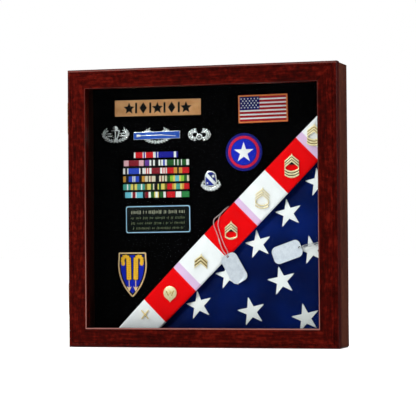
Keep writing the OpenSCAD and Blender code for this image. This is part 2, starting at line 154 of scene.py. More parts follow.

# %% [markdown]
# ## Mahogany
# The box and the door are mahogany, stained deep red and sprayed with a satin lacquer. Three noises
# make it: one stretched hard along the grain for the pores, one wide and lazy for the ribbon figure,
# and a fine even mottle. Real pores are 0.3 mm across, too fine to show here, so they are drawn about
# 2 mm wide. Each member's grain runs along its own length, so the rails and the stiles get their own
# turn of one recipe. The front arris round the opening and a line along the top of the frame are
# painted paler, as painted highlights where those edges catch the light, and the case's inner walls
# are painted darker, as painted shade.

# %% Mahogany, one recipe turned three ways
def lacquered_mahogany(name, stretch, deep, body, lit, inside=1.0):
    """Stretch is how much longer a streak is along x, y and z than it is across. The last argument darkens
    the case's inner walls, 208.5 mm from its middle, with painted shade, where 1 is as light as the outside."""
    made, tree, skin = start_material(
        name, IOR=1.5, Specular_IOR_Level=0.16, Specular_Tint=linear("#8c2a18"),
        Coat_Weight=0.03, Coat_Roughness=0.15)
    place = node(tree, "TexCoord").outputs["Object"]
    along = node(tree, "Mapping", {"Vector": place, "Scale": [1 / s for s in stretch]}).outputs["Vector"]
    pores = node(tree, "TexNoise", {"Vector": along, "Scale": 1 / 0.0035, "Detail": 5.0, "Roughness": 0.65})
    figure = node(tree, "TexNoise", {"Vector": along, "Scale": 1 / 0.028, "Detail": 3.0, "Distortion": 0.8})
    mottle = node(tree, "TexNoise", {"Vector": place, "Scale": 1 / 0.006, "Detail": 3.0})
    mixed = 0.0
    for noise_node, weight in ((figure, 0.27), (pores, 0.43), (mottle, 0.3)):
        parts = {0: noise_node.outputs["Fac"], 1: weight, 2: mixed}
        mixed = node(tree, "Math", parts, operation="MULTIPLY_ADD").outputs[0]
    middled = node(tree, "VectorMath", {0: place, 1: (0, 0, -CASE_MIDDLE)}, operation="ADD").outputs[0]
    offset = node(tree, "SeparateXYZ", {"Vector": middled})
    across = node(tree, "Math", {0: offset.outputs["X"]}, operation="ABSOLUTE").outputs[0]
    up = node(tree, "Math", {0: offset.outputs["Z"]}, operation="ABSOLUTE").outputs[0]
    outward = node(tree, "Math", {0: across, 1: up}, operation="MAXIMUM").outputs[0]
    # Painted shade: the inner walls are darkened as if the box shaded them
    shade = node(tree, "MapRange", {"Value": outward, 1: 0.2087, 2: 0.2105, 3: inside, 4: 1.0}).outputs[0]
    streaks = ramp(tree, mixed, [(0.4, deep), (0.5, body), (0.6, lit)])
    toned = node(tree, "Mix", {0: 1.0, 6: streaks, 7: shade}, data_type="RGBA", blend_type="MULTIPLY")
    # The front arris round the opening, 198 mm from the middle, is painted pale as a highlight, most along
    # its sill, which faces up to the lamps
    height = offset.outputs["Z"]
    highlight_by_height = node(tree, "MapRange", {"Value": height, 1: -0.19, 2: 0.12, 3: 0.8, 4: 0.08}).outputs[0]
    arris_highlight = node(tree, "MapRange", {"Value": outward, 1: 0.1979, 2: 0.1984, 3: highlight_by_height, 4: 0.0}).outputs[0]
    front = node(tree, "MapRange", {"Value": offset.outputs["Y"], 1: cad_low.y + 0.001,
                                    2: cad_low.y + 0.0015, 3: arris_highlight, 4: 0.0}).outputs[0]
    # A line along the top of the frame is painted pale too: a painted highlight on its rounded edge
    line = node(tree, "Math", {0: height, 1: 0.2264, 2: 0.0009}, operation="COMPARE").outputs[0]
    line = node(tree, "Math", {0: line, 1: 0.3}, operation="MULTIPLY").outputs[0]
    line = node(tree, "MapRange", {"Value": offset.outputs["Y"], 1: cad_low.y + 0.003,
                                   2: cad_low.y + 0.0045, 3: line, 4: 0.0}).outputs[0]
    painted_highlights = node(tree, "Math", {0: front, 1: line}, operation="MAXIMUM").outputs[0]
    # The painted highlights mix in this pale tone
    wear_and_painted_highlight = node(tree, "Mix", {0: painted_highlights, 6: toned.outputs[2], 7: linear("#9c6a62")}, data_type="RGBA")
    tree.links.new(wear_and_painted_highlight.outputs[2], skin.inputs["Base Color"])
    gloss = node(tree, "MapRange", {"Value": pores.outputs["Fac"], 3: 0.3, 4: 0.46})
    tree.links.new(gloss.outputs[0], skin.inputs["Roughness"])
    roughen(tree, skin, pores.outputs["Fac"], 0.0002, 0.35)
    return made


print("the grain of a member runs along its own length")

# %% The four woods
CASE_MIDDLE = (cad_low.z + cad_high.z) / 2
FACE_TONES = ("#1e0201", "#350402", "#520e07")
SIDE_TONES = ("#301008", "#451e12", "#5a2e1e")
rail_wood = lacquered_mahogany("lacquered_mahogany_rails", (9, 1, 1), *FACE_TONES)
stile_wood = lacquered_mahogany("lacquered_mahogany_stiles", (1, 1, 9), *FACE_TONES)
# The boards' inner walls are painted at 0.3 of their tone, as painted shade
board_wood_flat = lacquered_mahogany("lacquered_mahogany_flat_boards", (9, 1, 1), *SIDE_TONES, 0.3)
board_wood_upright = lacquered_mahogany("lacquered_mahogany_upright_boards", (1, 1, 9), *SIDE_TONES, 0.3)
print("woods:", len([m for m in bpy.data.materials if "mahogany" in m.name]))

# %% [markdown]
# ## Finishing the CAD pieces
# A CAD node keeps its mesh. Its slots get the new material, and where its edges are sharp, a Weld and
# a Bevel modifier ease them, because no sanded or cast edge is perfectly sharp.

# %% Refinish helper and the wood
def refinish(material, names, ease=0.0):
    for name in names:
        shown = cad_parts[name]
        for holder in shown.material_slots:
            holder.material = material
        if ease:
            weld = shown.modifiers.new("weld", "WELD")
            weld.merge_threshold = 0.01 * MM
            soften = shown.modifiers.new("eased_edges", "BEVEL")
            soften.width = ease * MM
            soften.segments = 2
            soften.limit_method = "ANGLE"
            soften.angle_limit = math.radians(35)
    print(material.name, "on", len(names), "pieces")


refinish(rail_wood, ["door_top_rail", "door_bottom_rail"], 0.5)
refinish(stile_wood, ["door_left_stile", "door_right_stile"], 0.5)
refinish(rail_wood, ["glass_stop_top", "glass_stop_bottom"])
refinish(stile_wood, ["glass_stop_left", "glass_stop_right"])
refinish(board_wood_flat, ["top_board", "bottom_board"], 0.6)
refinish(board_wood_upright, ["left_board", "right_board"], 0.6)

# %% [markdown]
# ## Glass
# Picture glass, 2.5 mm thick. A refracting shader would block the lamps and leave the board in the
# dark, so the pane is clear film plus a mirror that passes light straight. Their mix follows
# Schlick's rule: 4% of mirror face-on, and all of it at a glancing angle. The rule is worked out from
# the facing value, because the Fresnel node would turn the pane's far side into a full mirror past
# 44 degrees and shut the lamps out. The mirror is dark face-on, where the pane's coating works.

# %% Picture glass
pane_glass = bpy.data.materials.new("float_glass")
pane_glass.use_nodes = True
tree = pane_glass.node_tree
tree.nodes.clear()
clear = node(tree, "BsdfTransparent", {"Color": linear("#fbfdfc")})
facing = node(tree, "LayerWeight", {"Blend": 0.5}).outputs["Facing"]
coating = ramp(tree, facing, [(0.3, "#1c1e20"), (1.0, "#c4c8cc")])
mirror = node(tree, "BsdfGlossy", {"Roughness": 0.03, "Color": coating})
ripple = node(tree, "TexNoise", {"Vector": node(tree, "TexCoord").outputs["Object"], "Scale": 1 / 0.15})
wavy = node(tree, "Bump", {"Height": ripple.outputs["Fac"], "Distance": 0.0002, "Strength": 0.2})
tree.links.new(wavy.outputs["Normal"], mirror.inputs["Normal"])
edge_on = node(tree, "Math", {0: facing, 1: 5.0}, operation="POWER").outputs[0]
schlick = node(tree, "MapRange", {"Value": edge_on, 3: 0.04, 4: 1.0}).outputs[0]
blend = node(tree, "MixShader", {0: schlick, 1: clear.outputs[0], 2: mirror.outputs[0]})
node(tree, "OutputMaterial", {"Surface": blend.outputs[0]})
refinish(pane_glass, ["glass_pane"])

# %% [markdown]
# ## Metals and the back panel
# Brass hinges and hangers, zinc-plated panel screws and magnets, stainless tags. A metal has no IOR
# of its own here: its colour is its reflection, and a noise in the roughness keeps it from looking
# new-minted. The ribbons' steel mount is sprayed satin black, so it all but vanishes between their
# rows. The back is tempered hardboard: pressed wood fibre, brown, matted and dull, a little cloudy
# where the press left oil.

# %% Metals
def worn_metal(name, bright, dull, roughness, grit):
    """Metal whose colour and shine wander a little, grit being the size of a mark in metres."""
    made, tree, skin = start_material(name, Metallic=1.0)
    place = node(tree, "TexCoord").outputs["Object"]
    marks = node(tree, "TexNoise", {"Vector": place, "Scale": 1 / grit, "Detail": 4.0}).outputs["Fac"]
    tree.links.new(ramp(tree, marks, [(0.35, dull), (0.6, bright)]), skin.inputs["Base Color"])
    shine = node(tree, "MapRange", {"Value": marks, 3: roughness + 0.1, 4: roughness - 0.06})
    tree.links.new(shine.outputs[0], skin.inputs["Roughness"])
    roughen(tree, skin, marks, 0.00005, 0.3)
    return made


brass = worn_metal("polished_brass", "#d9b668", "#a8823e", 0.25, 0.004)
zinc = worn_metal("zinc_plated_steel", "#c8cbcf", "#93979c", 0.32, 0.003)
stainless = worn_metal("satin_stainless_steel", "#e9edf8", "#dbe0ec", 0.5, 0.006)
nickel = worn_metal("nickel_plated_steel", "#f4f4f4", "#c4c6c8", 0.3, 0.003)
silver = worn_metal("oxidised_silver", "#fdfefe", "#c0c6ca", 0.25, 0.0022)
gold = worn_metal("gold_plate", "#fae6ae", "#dfc07c", 0.32, 0.0025)
pale_gold = worn_metal("pale_gold_plate", "#fff0c8", "#ecd8a0", 0.36, 0.0025)
refinish(brass, ["upper_hinge_case_leaf", "lower_hinge_case_leaf", "upper_hinge_door_leaf",
                 "lower_hinge_door_leaf", "left_hanger_plate", "right_hanger_plate"], 0.2)
refinish(brass, ["hinge_pins", "hinge_case_screws", "hinge_door_screws", "hanger_screws",
                 "left_hanger_ring", "right_hanger_ring"])
refinish(zinc, ["back_panel_screws", "catch_magnets", "strike_plates"], 0.1)
refinish(stainless, ["left_tag", "right_tag"], 0.15)

# %% Black paint for the ribbons' mount
black_paint, tree, skin = start_material("satin_black_paint", Specular_IOR_Level=0.1)
place = node(tree, "TexCoord").outputs["Object"]
peel = node(tree, "TexNoise", {"Vector": place, "Scale": 1 / 0.002, "Detail": 3.0}).outputs["Fac"]
tree.links.new(ramp(tree, peel, [(0.3, "#050506"), (0.7, "#0d0d0f")]), skin.inputs["Base Color"])
roughen(tree, skin, peel, 0.0001, 0.4)
refinish(black_paint, ["ribbon_mount"], 0.1)

# %% Hardboard for the back
hardboard, tree, skin = start_material("tempered_hardboard", IOR=1.45)
place = node(tree, "TexCoord").outputs["Object"]
fibres = node(tree, "TexNoise", {"Vector": place, "Scale": 1 / 0.003, "Detail": 8.0, "Roughness": 0.75})
cloudy = node(tree, "TexNoise", {"Vector": place, "Scale": 1 / 0.06, "Detail": 2.0})
tree.links.new(ramp(tree, fibres.outputs["Fac"], [(0.3, "#2e1c12"), (0.5, "#4a3020"), (0.7, "#6a4a32")]),
               skin.inputs["Base Color"])
wear_and_painted_highlight = node(tree, "MapRange", {"Value": cloudy.outputs["Fac"], 3: 0.55, 4: 0.75})
tree.links.new(wear_and_painted_highlight.outputs[0], skin.inputs["Roughness"])
roughen(tree, skin, fibres.outputs["Fac"], 0.0002, 0.5)
refinish(hardboard, ["back_panel"])

# %% [markdown]
# ## Tools for small flat things
# Most things on the board are thin: a patch, a pin, a plaque. They are drawn flat in millimetres,
# x to the right and y up, with height towards the glass, and one matrix stands them on the board.
# An outline is raised with an extrude and a bevel; leaves, beads and stitches are flattened spheres.

# %% From the drawing board to the case
BOARD_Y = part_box("display_board")[0].y / MM
FLAG_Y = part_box("folded_flag")[0].y / MM
BAND_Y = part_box("striped_fold")[0].y / MM
print("velvet at", round(BOARD_Y, 1), "flag at", round(FLAG_Y, 1), "striped fold at", round(BAND_Y, 1))


def standing(x, z, y, turn=0.0):
    """Takes a flat drawing in mm to the case in metres, with its origin at x, z and its back at y."""
    upright = Matrix(((MM, 0, 0, x * MM), (0, 0, -MM, y * MM), (0, MM, 0, z * MM), (0, 0, 0, 1)))
    return upright @ Matrix.Rotation(math.radians(turn), 4, "Z")


def hand_over(bm, name, materials, nodes=(), place=None, body="case", sharp=35):
    """Turns a bmesh into a finished piece: placed, outward facing, smooth, riding and slotted."""
    if place:
        bmesh.ops.transform(bm, matrix=place, verts=bm.verts)
    bmesh.ops.recalc_face_normals(bm, faces=bm.faces)
    mesh = bpy.data.meshes.new(name)
    bm.to_mesh(mesh)
    bm.free()
    mesh.polygons.foreach_set("use_smooth", [True] * len(mesh.polygons))
    mesh.set_sharp_from_angle(angle=math.radians(sharp))
    for material in materials:
        mesh.materials.append(material)
    piece = bpy.data.objects.new(name, mesh)
    bpy.context.scene.collection.objects.link(piece)
    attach(piece, body)
    if nodes:
        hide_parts(*nodes)
    print(name, len(mesh.polygons), "faces")
    return piece


# %% Raised shapes and grains
def raised(bm, outline, low, high, ease=0.3, paint=0, steps=2):
    """A closed plate on an outline, from low to high, with its upper edges eased."""
    face = bm.faces.new([bm.verts.new((x, y, low)) for x, y in outline])
    face.material_index = paint
    grown = bmesh.ops.extrude_face_region(bm, geom=[face])["geom"]
    lifted = [g for g in grown if isinstance(g, bmesh.types.BMVert)]
    bmesh.ops.translate(bm, vec=(0, 0, high - low), verts=lifted)
    rim = {e for g in grown if isinstance(g, bmesh.types.BMFace) for e in g.edges}
    if ease:
        bmesh.ops.bevel(bm, geom=list(rim), offset=ease, offset_type="OFFSET", segments=steps,
                        profile=0.5, affect="EDGES", material=-1, clamp_overlap=True)


def grain(bm, x, y, angle, length, width, low, high, paint=0, around=8, rings=4):
    """A flattened ball: a leaf, a stitch or a bead, lying at an angle in radians."""
    shape = Matrix.Translation((x, y, low)) @ Matrix.Rotation(angle, 4, "Z")
    shape = shape @ Matrix.Diagonal((length / 2, width / 2, high - low, 1))
    ball = bmesh.ops.create_uvsphere(bm, u_segments=around, v_segments=rings, radius=1, matrix=shape)
    for face in {f for v in ball["verts"] for f in v.link_faces}:
        face.material_index = paint


print("raised plates and flattened balls ready")


# %% Outlines
def box_outline(w, h, corner=0.0, steps=6, x=0.0, y=0.0):
    if not corner:
        return [(x + w / 2 * sx, y + h / 2 * sy) for sx, sy in ((-1, -1), (1, -1), (1, 1), (-1, 1))]
    points = []
    for quarter, (sx, sy) in enumerate([(1, 1), (-1, 1), (-1, -1), (1, -1)]):
        for k in range(steps + 1):
            a = math.pi / 2 * (quarter + k / steps)
            points.append((x + sx * (w / 2 - corner) + corner * math.cos(a),
                           y + sy * (h / 2 - corner) + corner * math.sin(a)))
    return points


def oval_outline(w, h, steps=48, x=0.0, y=0.0):
    turns = [2 * math.pi * k / steps for k in range(steps)]
    return [(x + w / 2 * math.cos(a), y + h / 2 * math.sin(a)) for a in turns]


def star_outline(radius, turn=0.0, inner=0.382, x=0.0, y=0.0):
    """Five points up; inner is the radius of the notches over that of the tips."""
    points = []
    for k in range(10):
        a = math.pi / 2 + math.radians(turn) + math.pi * k / 5
        r = radius if k % 2 == 0 else radius * inner
        points.append((x + r * math.cos(a), y + r * math.sin(a)))
    return points


def arc_outline(w, h, thick, start, stop, steps=16, x=0.0, y=0.0):
    """A slice of an oval band, from start to stop in degrees."""
    sweep = [math.radians(start + (stop - start) * k / steps) for k in range(steps + 1)]
    outer = [(x + w / 2 * math.cos(a), y + h / 2 * math.sin(a)) for a in sweep]
    inner = [(x + (w / 2 - thick) * math.cos(a), y + (h / 2 - thick) * math.sin(a)) for a in reversed(sweep)]
    return outer + inner


def shield_outline(w, h, steps=10):
    """A heater shield with its flat top at y = 0."""
    reach = w * 1.48
    side = []
    for k in range(steps + 1):
        y = -h * (0.12 + 0.88 * k / steps)
        side.append((-w * 0.98 + math.sqrt(max(reach ** 2 - (y + h * 0.34) ** 2, 0)), y))
    scale = (w / 2) / side[0][0]
    side = [(max(x * scale, 0.0), y) for x, y in side]
    tip = side[-1][0]
    side = [(x - tip * k / steps, y) for k, (x, y) in enumerate(side)]
    right = [(w / 2, 0)] + side[:-1] + [(0, -h)]
    return right + [(-x, y) for x, y in reversed(right[:-1])]


print("outlines ready; a star has", len(star_outline(1)), "corners")


# %% Round an outline and inside it
def walk(outline, pitch):
    """Evenly spaced places round a closed outline, each with the direction of travel."""
    for (x0, y0), (x1, y1) in zip(outline, outline[1:] + outline[:1]):
        length = math.hypot(x1 - x0, y1 - y0)
        count = max(1, round(length / pitch))
        for k in range(count):
            t = (k + 0.5) / count
            yield x0 + (x1 - x0) * t, y0 + (y1 - y0) * t, math.atan2(y1 - y0, x1 - x0)


def inset(outline, by):
    """The outline moved inwards by a distance, for outlines that run anticlockwise or clockwise."""
    area = sum(x0 * y1 - x1 * y0 for (x0, y0), (x1, y1) in zip(outline, outline[1:] + outline[:1]))
    side = by if area > 0 else -by
    moved = []
    for before, here, after in zip(outline[-1:] + outline[:-1], outline, outline[1:] + outline[:1]):
        a = (Vector(here) - Vector(before)).normalized()
        b = (Vector(after) - Vector(here)).normalized()
        na, nb = Vector((-a.y, a.x)), Vector((-b.y, b.x))
        out = (na + nb) / max(1 + na.dot(nb), 0.3)
        moved.append((here[0] + out.x * side, here[1] + out.y * side))
    return moved


def overlock(bm, outline, width, low, high, pitch, paint):
    """The thick overlocked edge of a patch: slanting stitches laid side by side round it."""
    middle = inset(outline, width / 2)
    for x, y, angle in walk(middle, pitch):
        grain(bm, x, y, angle + math.radians(72), width * 1.12, pitch * 1.3, low, high, paint, 6, 4)


print("a 10 mm square moved in by 1 mm:", inset(box_outline(10, 10), 1)[0], "at its first corner")

# %% [markdown]
# ## The velvet board
# A thin board wrapped in black velvet lines the back. Velvet is the blackest of cloths: its pile
# stands on end and swallows light, and only a faint sheen shows where it is seen edge-on.

# %% Velvet
velvet, tree, skin = start_material("black_velvet", Roughness=1.0, Sheen_Weight=0.02,
                                    Sheen_Roughness=0.35, Specular_IOR_Level=0.02)
skin.inputs["Sheen Tint"].default_value = linear("#8a8a96")
place = node(tree, "TexCoord").outputs["Object"]
# The pile's tufts are 0.3 mm apart, drawn at 1.2 mm
pile = node(tree, "TexNoise", {"Vector": place, "Scale": 1 / 0.0012, "Detail": 3.0}).outputs["Fac"]
brushed = node(tree, "TexNoise", {"Vector": place, "Scale": 1 / 0.05, "Detail": 2.0}).outputs["Fac"]
tree.links.new(ramp(tree, brushed, [(0.3, "#010101"), (0.7, "#030304")]), skin.inputs["Base Color"])
roughen(tree, skin, pile, 0.0003, 0.6)

low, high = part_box("display_board")
bm = bmesh.new()
size = high - low
bmesh.ops.create_cube(bm, size=1, matrix=Matrix.Translation((low + high) / 2) @ Matrix.Diagonal((*size, 1)))
bmesh.ops.bevel(bm, geom=bm.edges[:], offset=1.6 * MM, offset_type="OFFSET", segments=4, profile=0.5,
                affect="EDGES", material=-1, clamp_overlap=True)
hand_over(bm, "velvet_board", [velvet], ["display_board"])

# %% [markdown]
# ## The felt under the case
# A strip of felt keeps the wood off the table. It is one flat sheet, cut 2 mm thick, with soft edges.

# %% Felt
felt, tree, skin = start_material("wool_felt", Roughness=0.95, Sheen_Weight=0.3, Sheen_Roughness=0.6)
place = node(tree, "TexCoord").outputs["Object"]
matted = node(tree, "TexNoise", {"Vector": place, "Scale": 1 / 0.002, "Detail": 6.0, "Roughness": 0.7})
tree.links.new(ramp(tree, matted.outputs["Fac"], [(0.35, "#0c0c0e"), (0.65, "#26262a")]),
               skin.inputs["Base Color"])
roughen(tree, skin, matted.outputs["Fac"], 0.0004, 0.8)
low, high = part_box("base_felt")
bm = bmesh.new()
size = high - low
bmesh.ops.create_cube(bm, size=1, matrix=Matrix.Translation((low + high) / 2) @ Matrix.Diagonal((*size, 1)))
bmesh.ops.bevel(bm, geom=bm.edges[:], offset=0.6 * MM, offset_type="OFFSET", segments=3, profile=0.5,
                affect="EDGES", material=-1, clamp_overlap=True)
felt_pad = hand_over(bm, "felt_pad", [felt], ["base_felt"])

# %% [markdown]
# ## The folded flag
# A nylon flag is folded again and again into a triangle, so the bundle is a soft pad: crowned, with
# rounded edges and its layers showing along the sides. It starts as a grid cut along the long side;
# the border is then extruded back in steps, in and out, to make the layers. The front is waved by a
# smooth noise and sinks beside the striped fold, which lies on top of it like a thick hem.

# %% Where the flag's front is
FLAG_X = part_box("folded_flag")[1].x / MM
FLAG_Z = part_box("folded_flag")[0].z / MM
# The striped fold reaches 1 mm past the end of the triangle's short side
LEG = FLAG_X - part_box("striped_fold")[0].x / MM - 1
BAND_WIDTH = 51.2
BAND_LINE = FLAG_Z + LEG - FLAG_X
# How far back the cloth sinks beside the fold and rolls at its edges, and how wide each of them is
SINK, SINK_REACH, ROLL, ROLL_REACH = 10.0, 15.0, 7.0, 9.0


def from_long_edge(x, z):
    """How far a place is from the flag's long edge, in mm, going into the flag."""
    return (BAND_LINE - (z - x)) / math.sqrt(2)


def flag_front(x, z):
    """The y of the flag's front at x and z, in mm: never before the bundle's flat face."""
    inside = from_long_edge(x, z) - BAND_WIDTH
    sunk = SINK * math.exp(-((max(inside, 0.0) / SINK_REACH) ** 2))
    along, across = (x + z) / math.sqrt(2), (z - x) / math.sqrt(2)
    broad = noise.noise(Vector((along / 120, across / 42, 3.7)))
    small = noise.noise(Vector((along / 45, across / 30, 9.1)))
    swell = 1.6 + 1.9 * max(-0.8, min(1.0, (broad + 0.5 * small) * 1.3))
    edge = min(FLAG_X - x, z - FLAG_Z)
    rolled = ROLL * (1 - min(max(edge, 0) / ROLL_REACH, 1)) ** 2.2
    return FLAG_Y + max(0.0, swell) + sunk + rolled


print("flag front near its middle:", round(flag_front(120, 120), 2), "mm")

# %% Blue nylon
blue_nylon, tree, skin = start_material("blue_flag_nylon", Sheen_Weight=0.04, Sheen_Roughness=0.4,
                                        Specular_IOR_Level=0.03)
skin.inputs["Sheen Tint"].default_value = linear("#1038c8")
place = node(tree, "TexCoord").outputs["Object"]
soft = node(tree, "TexNoise", {"Vector": place, "Scale": 1 / 0.075, "Detail": 2.5, "Roughness": 0.5})
tree.links.new(ramp(tree, soft.outputs["Fac"], [(0.32, "#010c3a"), (0.5, "#01134a"), (0.68, "#021a60")]),
               skin.inputs["Base Color"])
# The threads are 0.25 mm apart, drawn at 1.1 mm, in two directions
FLAG_THREAD = 0.0011
waviness = {"Vector": place, "Scale": WAVE_PERIOD / FLAG_THREAD, "Distortion": 0.4}
warp = node(tree, "TexWave", waviness, bands_direction="X")
weft = node(tree, "TexWave", waviness, bands_direction="Z")
weave = node(tree, "Math", {0: warp.outputs["Fac"], 1: weft.outputs["Fac"]}, operation="MULTIPLY").outputs[0]
dull = node(tree, "MapRange", {"Value": weave, 3: 0.62, 4: 0.5})
tree.links.new(dull.outputs[0], skin.inputs["Roughness"])
roughen(tree, skin, weave, 0.00015, 0.5)
print(blue_nylon.name, "with threads drawn", round(FLAG_THREAD / MM, 2), "mm apart")

# %% The blue bundle
bm = bmesh.new()
FLAG_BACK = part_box("folded_flag")[1].y / MM
cells = 96
middle = Matrix.Translation((FLAG_X - LEG / 2, FLAG_Z + LEG / 2, 0))
bmesh.ops.create_grid(bm, x_segments=cells, y_segments=cells, size=LEG / 2, matrix=middle)
long_side = Vector((-1, 1, 0)).normalized()
cut_at = Vector((FLAG_X - LEG, FLAG_Z, 0)) - long_side * 2.2
bmesh.ops.bisect_plane(bm, geom=bm.verts[:] + bm.edges[:] + bm.faces[:], dist=0.01, plane_co=cut_at,
                       plane_no=long_side, clear_outer=True)
for corner, way in (((FLAG_X - LEG + 13, FLAG_Z), (-1, 0, 0)), ((FLAG_X, FLAG_Z + LEG - 13), (0, 1, 0))):
    bmesh.ops.bisect_plane(bm, geom=bm.verts[:] + bm.edges[:] + bm.faces[:], dist=0.01,
                           plane_co=(*corner, 0), plane_no=way, clear_outer=True)
front_verts = bm.verts[:]
for v in front_verts:
    v.co.z = -flag_front(v.co.x, v.co.y)
print("front grid:", len(front_verts), "points")

# %% The layers along its sides
border = [e for e in bm.edges if e.is_boundary]
centre = Vector((FLAG_X - LEG * 0.3, FLAG_Z + LEG * 0.3))
layers, FIRST_LAYER, STEP_OUT = 7, 8, 1.1
for k in range(layers * 2 + 1):
    grown = bmesh.ops.extrude_edge_only(bm, edges=border)["geom"]
    ring = [g for g in grown if isinstance(g, bmesh.types.BMVert)]
    border = [g for g in grown if isinstance(g, bmesh.types.BMEdge)]
    depth = FLAG_Y + FIRST_LAYER + (FLAG_BACK - FLAG_Y - FIRST_LAYER) * k / (layers * 2)
    step = STEP_OUT if k % 2 else -STEP_OUT if k else 0
    for v in ring:
        flat = Vector((v.co.x, v.co.y))
        towards = (centre - flat).normalized()
        v.co.x += towards.x * step
        v.co.y += towards.y * step
        v.co.z = -max(depth, -v.co.z + 0.2)
bmesh.ops.holes_fill(bm, edges=border, sides=0)
bmesh.ops.triangulate(bm, faces=[f for f in bm.faces if len(f.verts) > 4])
to_case = Matrix(((MM, 0, 0, 0), (0, 0, -MM, 0), (0, MM, 0, 0), (0, 0, 0, 1)))
folded_flag = hand_over(bm, "folded_flag_bundle", [blue_nylon], ["folded_flag"],
                        to_case, sharp=60)

# %% [markdown]
# ## The stars
# Each star is a densely stitched patch sewn to the blue cloth: a flat star, slightly raised, with a
# rib of satin stitch along its edge. They stand on a slanting grid, turned a little, because the
# cloth was folded along its diagonal. Every point of a star is moved back onto the waved cloth.

# %% Embroidery thread
def embroidery_thread(name, code, shade, pitch=0.0010, way="DIAGONAL"):
    """Rayon thread in close rows: silky, brighter along each thread, darker between the rows, where
    the shade colour is painted shade. The real rows are 0.4 mm apart, drawn at about 1 mm."""
    made, tree, skin = start_material(name, Sheen_Weight=0.05, Sheen_Roughness=0.3, Specular_IOR_Level=0.15)
    place = node(tree, "TexCoord").outputs["Object"]
    rows = node(tree, "TexWave", {"Vector": place, "Scale": WAVE_PERIOD / pitch, "Distortion": 1.2,
                                  "Detail": 2.0}, bands_direction=way).outputs["Fac"]
    tree.links.new(ramp(tree, rows, [(0.0, shade), (0.55, code)]), skin.inputs["Base Color"])
    soft = node(tree, "MapRange", {"Value": rows, 3: 0.7, 4: 0.5})
    tree.links.new(soft.outputs[0], skin.inputs["Roughness"])
    roughen(tree, skin, rows, 0.0002, 0.6)
    return made


white_thread = embroidery_thread("white_embroidery_thread", "#fdfdfd", "#e2e5ea")
navy_thread = embroidery_thread("navy_embroidery_thread", "#1c1f96", "#0c0e58")
canton_thread = embroidery_thread("dark_navy_embroidery_thread", "#101c74", "#080e44", way="X")
blue_thread = embroidery_thread("bright_blue_embroidery_thread", "#0a26d6", "#03107a", way="X")
crimson_thread = embroidery_thread("crimson_embroidery_thread", "#dc1848", "#90102e")
red_thread = embroidery_thread("red_embroidery_thread", "#bc1828", "#820e1c", way="Z")
gold_thread = embroidery_thread("gold_embroidery_thread", "#ffcc38", "#eea41c")
buff_thread = embroidery_thread("buff_embroidery_thread", "#ffe4b0", "#f6c482")
orange_thread = embroidery_thread("orange_embroidery_thread", "#ffa45c", "#e07c38")
black_thread = embroidery_thread("black_embroidery_thread", "#0b0b0d", "#020203")
print("threads:", len([m for m in bpy.data.materials if "thread" in m.name]))

# %% Stars laid on the cloth
STAR_RADIUS, STAR_TURN = 24.0, 12.5
FIRST_STAR = Vector((136.8, 217.6))
STEP_DOWN, STEP_ACROSS = Vector((-50.9, -49.6)), Vector((39.5, -59.8))
STAR_PLACES = [(0, 0), (1, 0), (0, 1), (1, 1), (2, 0), (3, 0), (2, 1), (1, 2), (-1, 0)]


def lay_on_flag(bm):
    """Moves a drawing that stands on the flag's flat front back onto the waved cloth."""
    for v in bm.verts:
        v.co.z -= flag_front(v.co.x, v.co.y) - FLAG_Y


# One star is drawn, and its mesh is then read in once for each place
bm = bmesh.new()
tips = star_outline(STAR_RADIUS, STAR_TURN)
hub = bm.verts.new((0, 0, 0.75))
rim = [bm.verts.new((x, y, 0.55)) for x, y in tips]
for a, b in zip(rim, rim[1:] + rim[:1]):
    bm.faces.new((hub, a, b))
bmesh.ops.subdivide_edges(bm, edges=bm.edges[:], cuts=4, use_grid_fill=True)
skirt = bmesh.ops.extrude_edge_only(bm, edges=[e for e in bm.edges if e.is_boundary])["geom"]
bmesh.ops.translate(bm, vec=(0, 0, -1.3), verts=[g for g in skirt if isinstance(g, bmesh.types.BMVert)])
for x, y, angle in walk(inset(tips, 0.9), 1.5):
    grain(bm, x, y, angle + math.radians(80), 2.3, 1.7, 0.3, 1.05, 0, 6, 4)
one_star = bpy.data.meshes.new("one_star")
bm.to_mesh(one_star)
bm.free()
bm = bmesh.new()
for i, j in STAR_PLACES:
    at = FIRST_STAR + STEP_DOWN * i + STEP_ACROSS * j
    first = len(bm.verts)
    bm.from_mesh(one_star)
    bm.verts.ensure_lookup_table()
    bmesh.ops.translate(bm, vec=(at.x, at.y, 0), verts=bm.verts[first:])
bpy.data.meshes.remove(one_star)
lay_on_flag(bm)
place_on_flag = to_case @ Matrix.Translation((0, 0, -FLAG_Y))
hand_over(bm, "flag_stars", [white_thread], (), place_on_flag)

# %% [markdown]
# ## The striped fold
# Red and white stripes sewn edge to edge cross the long side as one flap of cloth. It turns under
# itself along its inner edge and wraps round the bundle along its outer edge. Its section is drawn
# once and swept along the diagonal, then both ends are cut square to the case. Each seam is a
# small valley, and the red seam allowance glows through the white cloth beside it.

# %% Striped nylon
STRIPE = 73.6
FIRST_SEAM = -22.5
ALLOWANCE = 12.5
START, STOP = -200.0, 470.0
RED, WHITE, BLUSH = "#f20006", "#fbfbff", "#e8c4ea"
stripes = [(0.0, WHITE)]
for k in range(7):
    seam = FIRST_SEAM + STRIPE * k
    if k % 2:
        stripes += [(seam, BLUSH), (seam + ALLOWANCE, WHITE)]
    else:
        stripes += [(seam, RED)]
stripes = [(max(0.0, (t - START) / (STOP - START)) if t else 0.0, code) for t, code in stripes]
striped_nylon, tree, skin = start_material("striped_flag_nylon", Sheen_Weight=0.04, Sheen_Roughness=0.4,
                                           Specular_IOR_Level=0.05)
place = node(tree, "TexCoord").outputs["Object"]
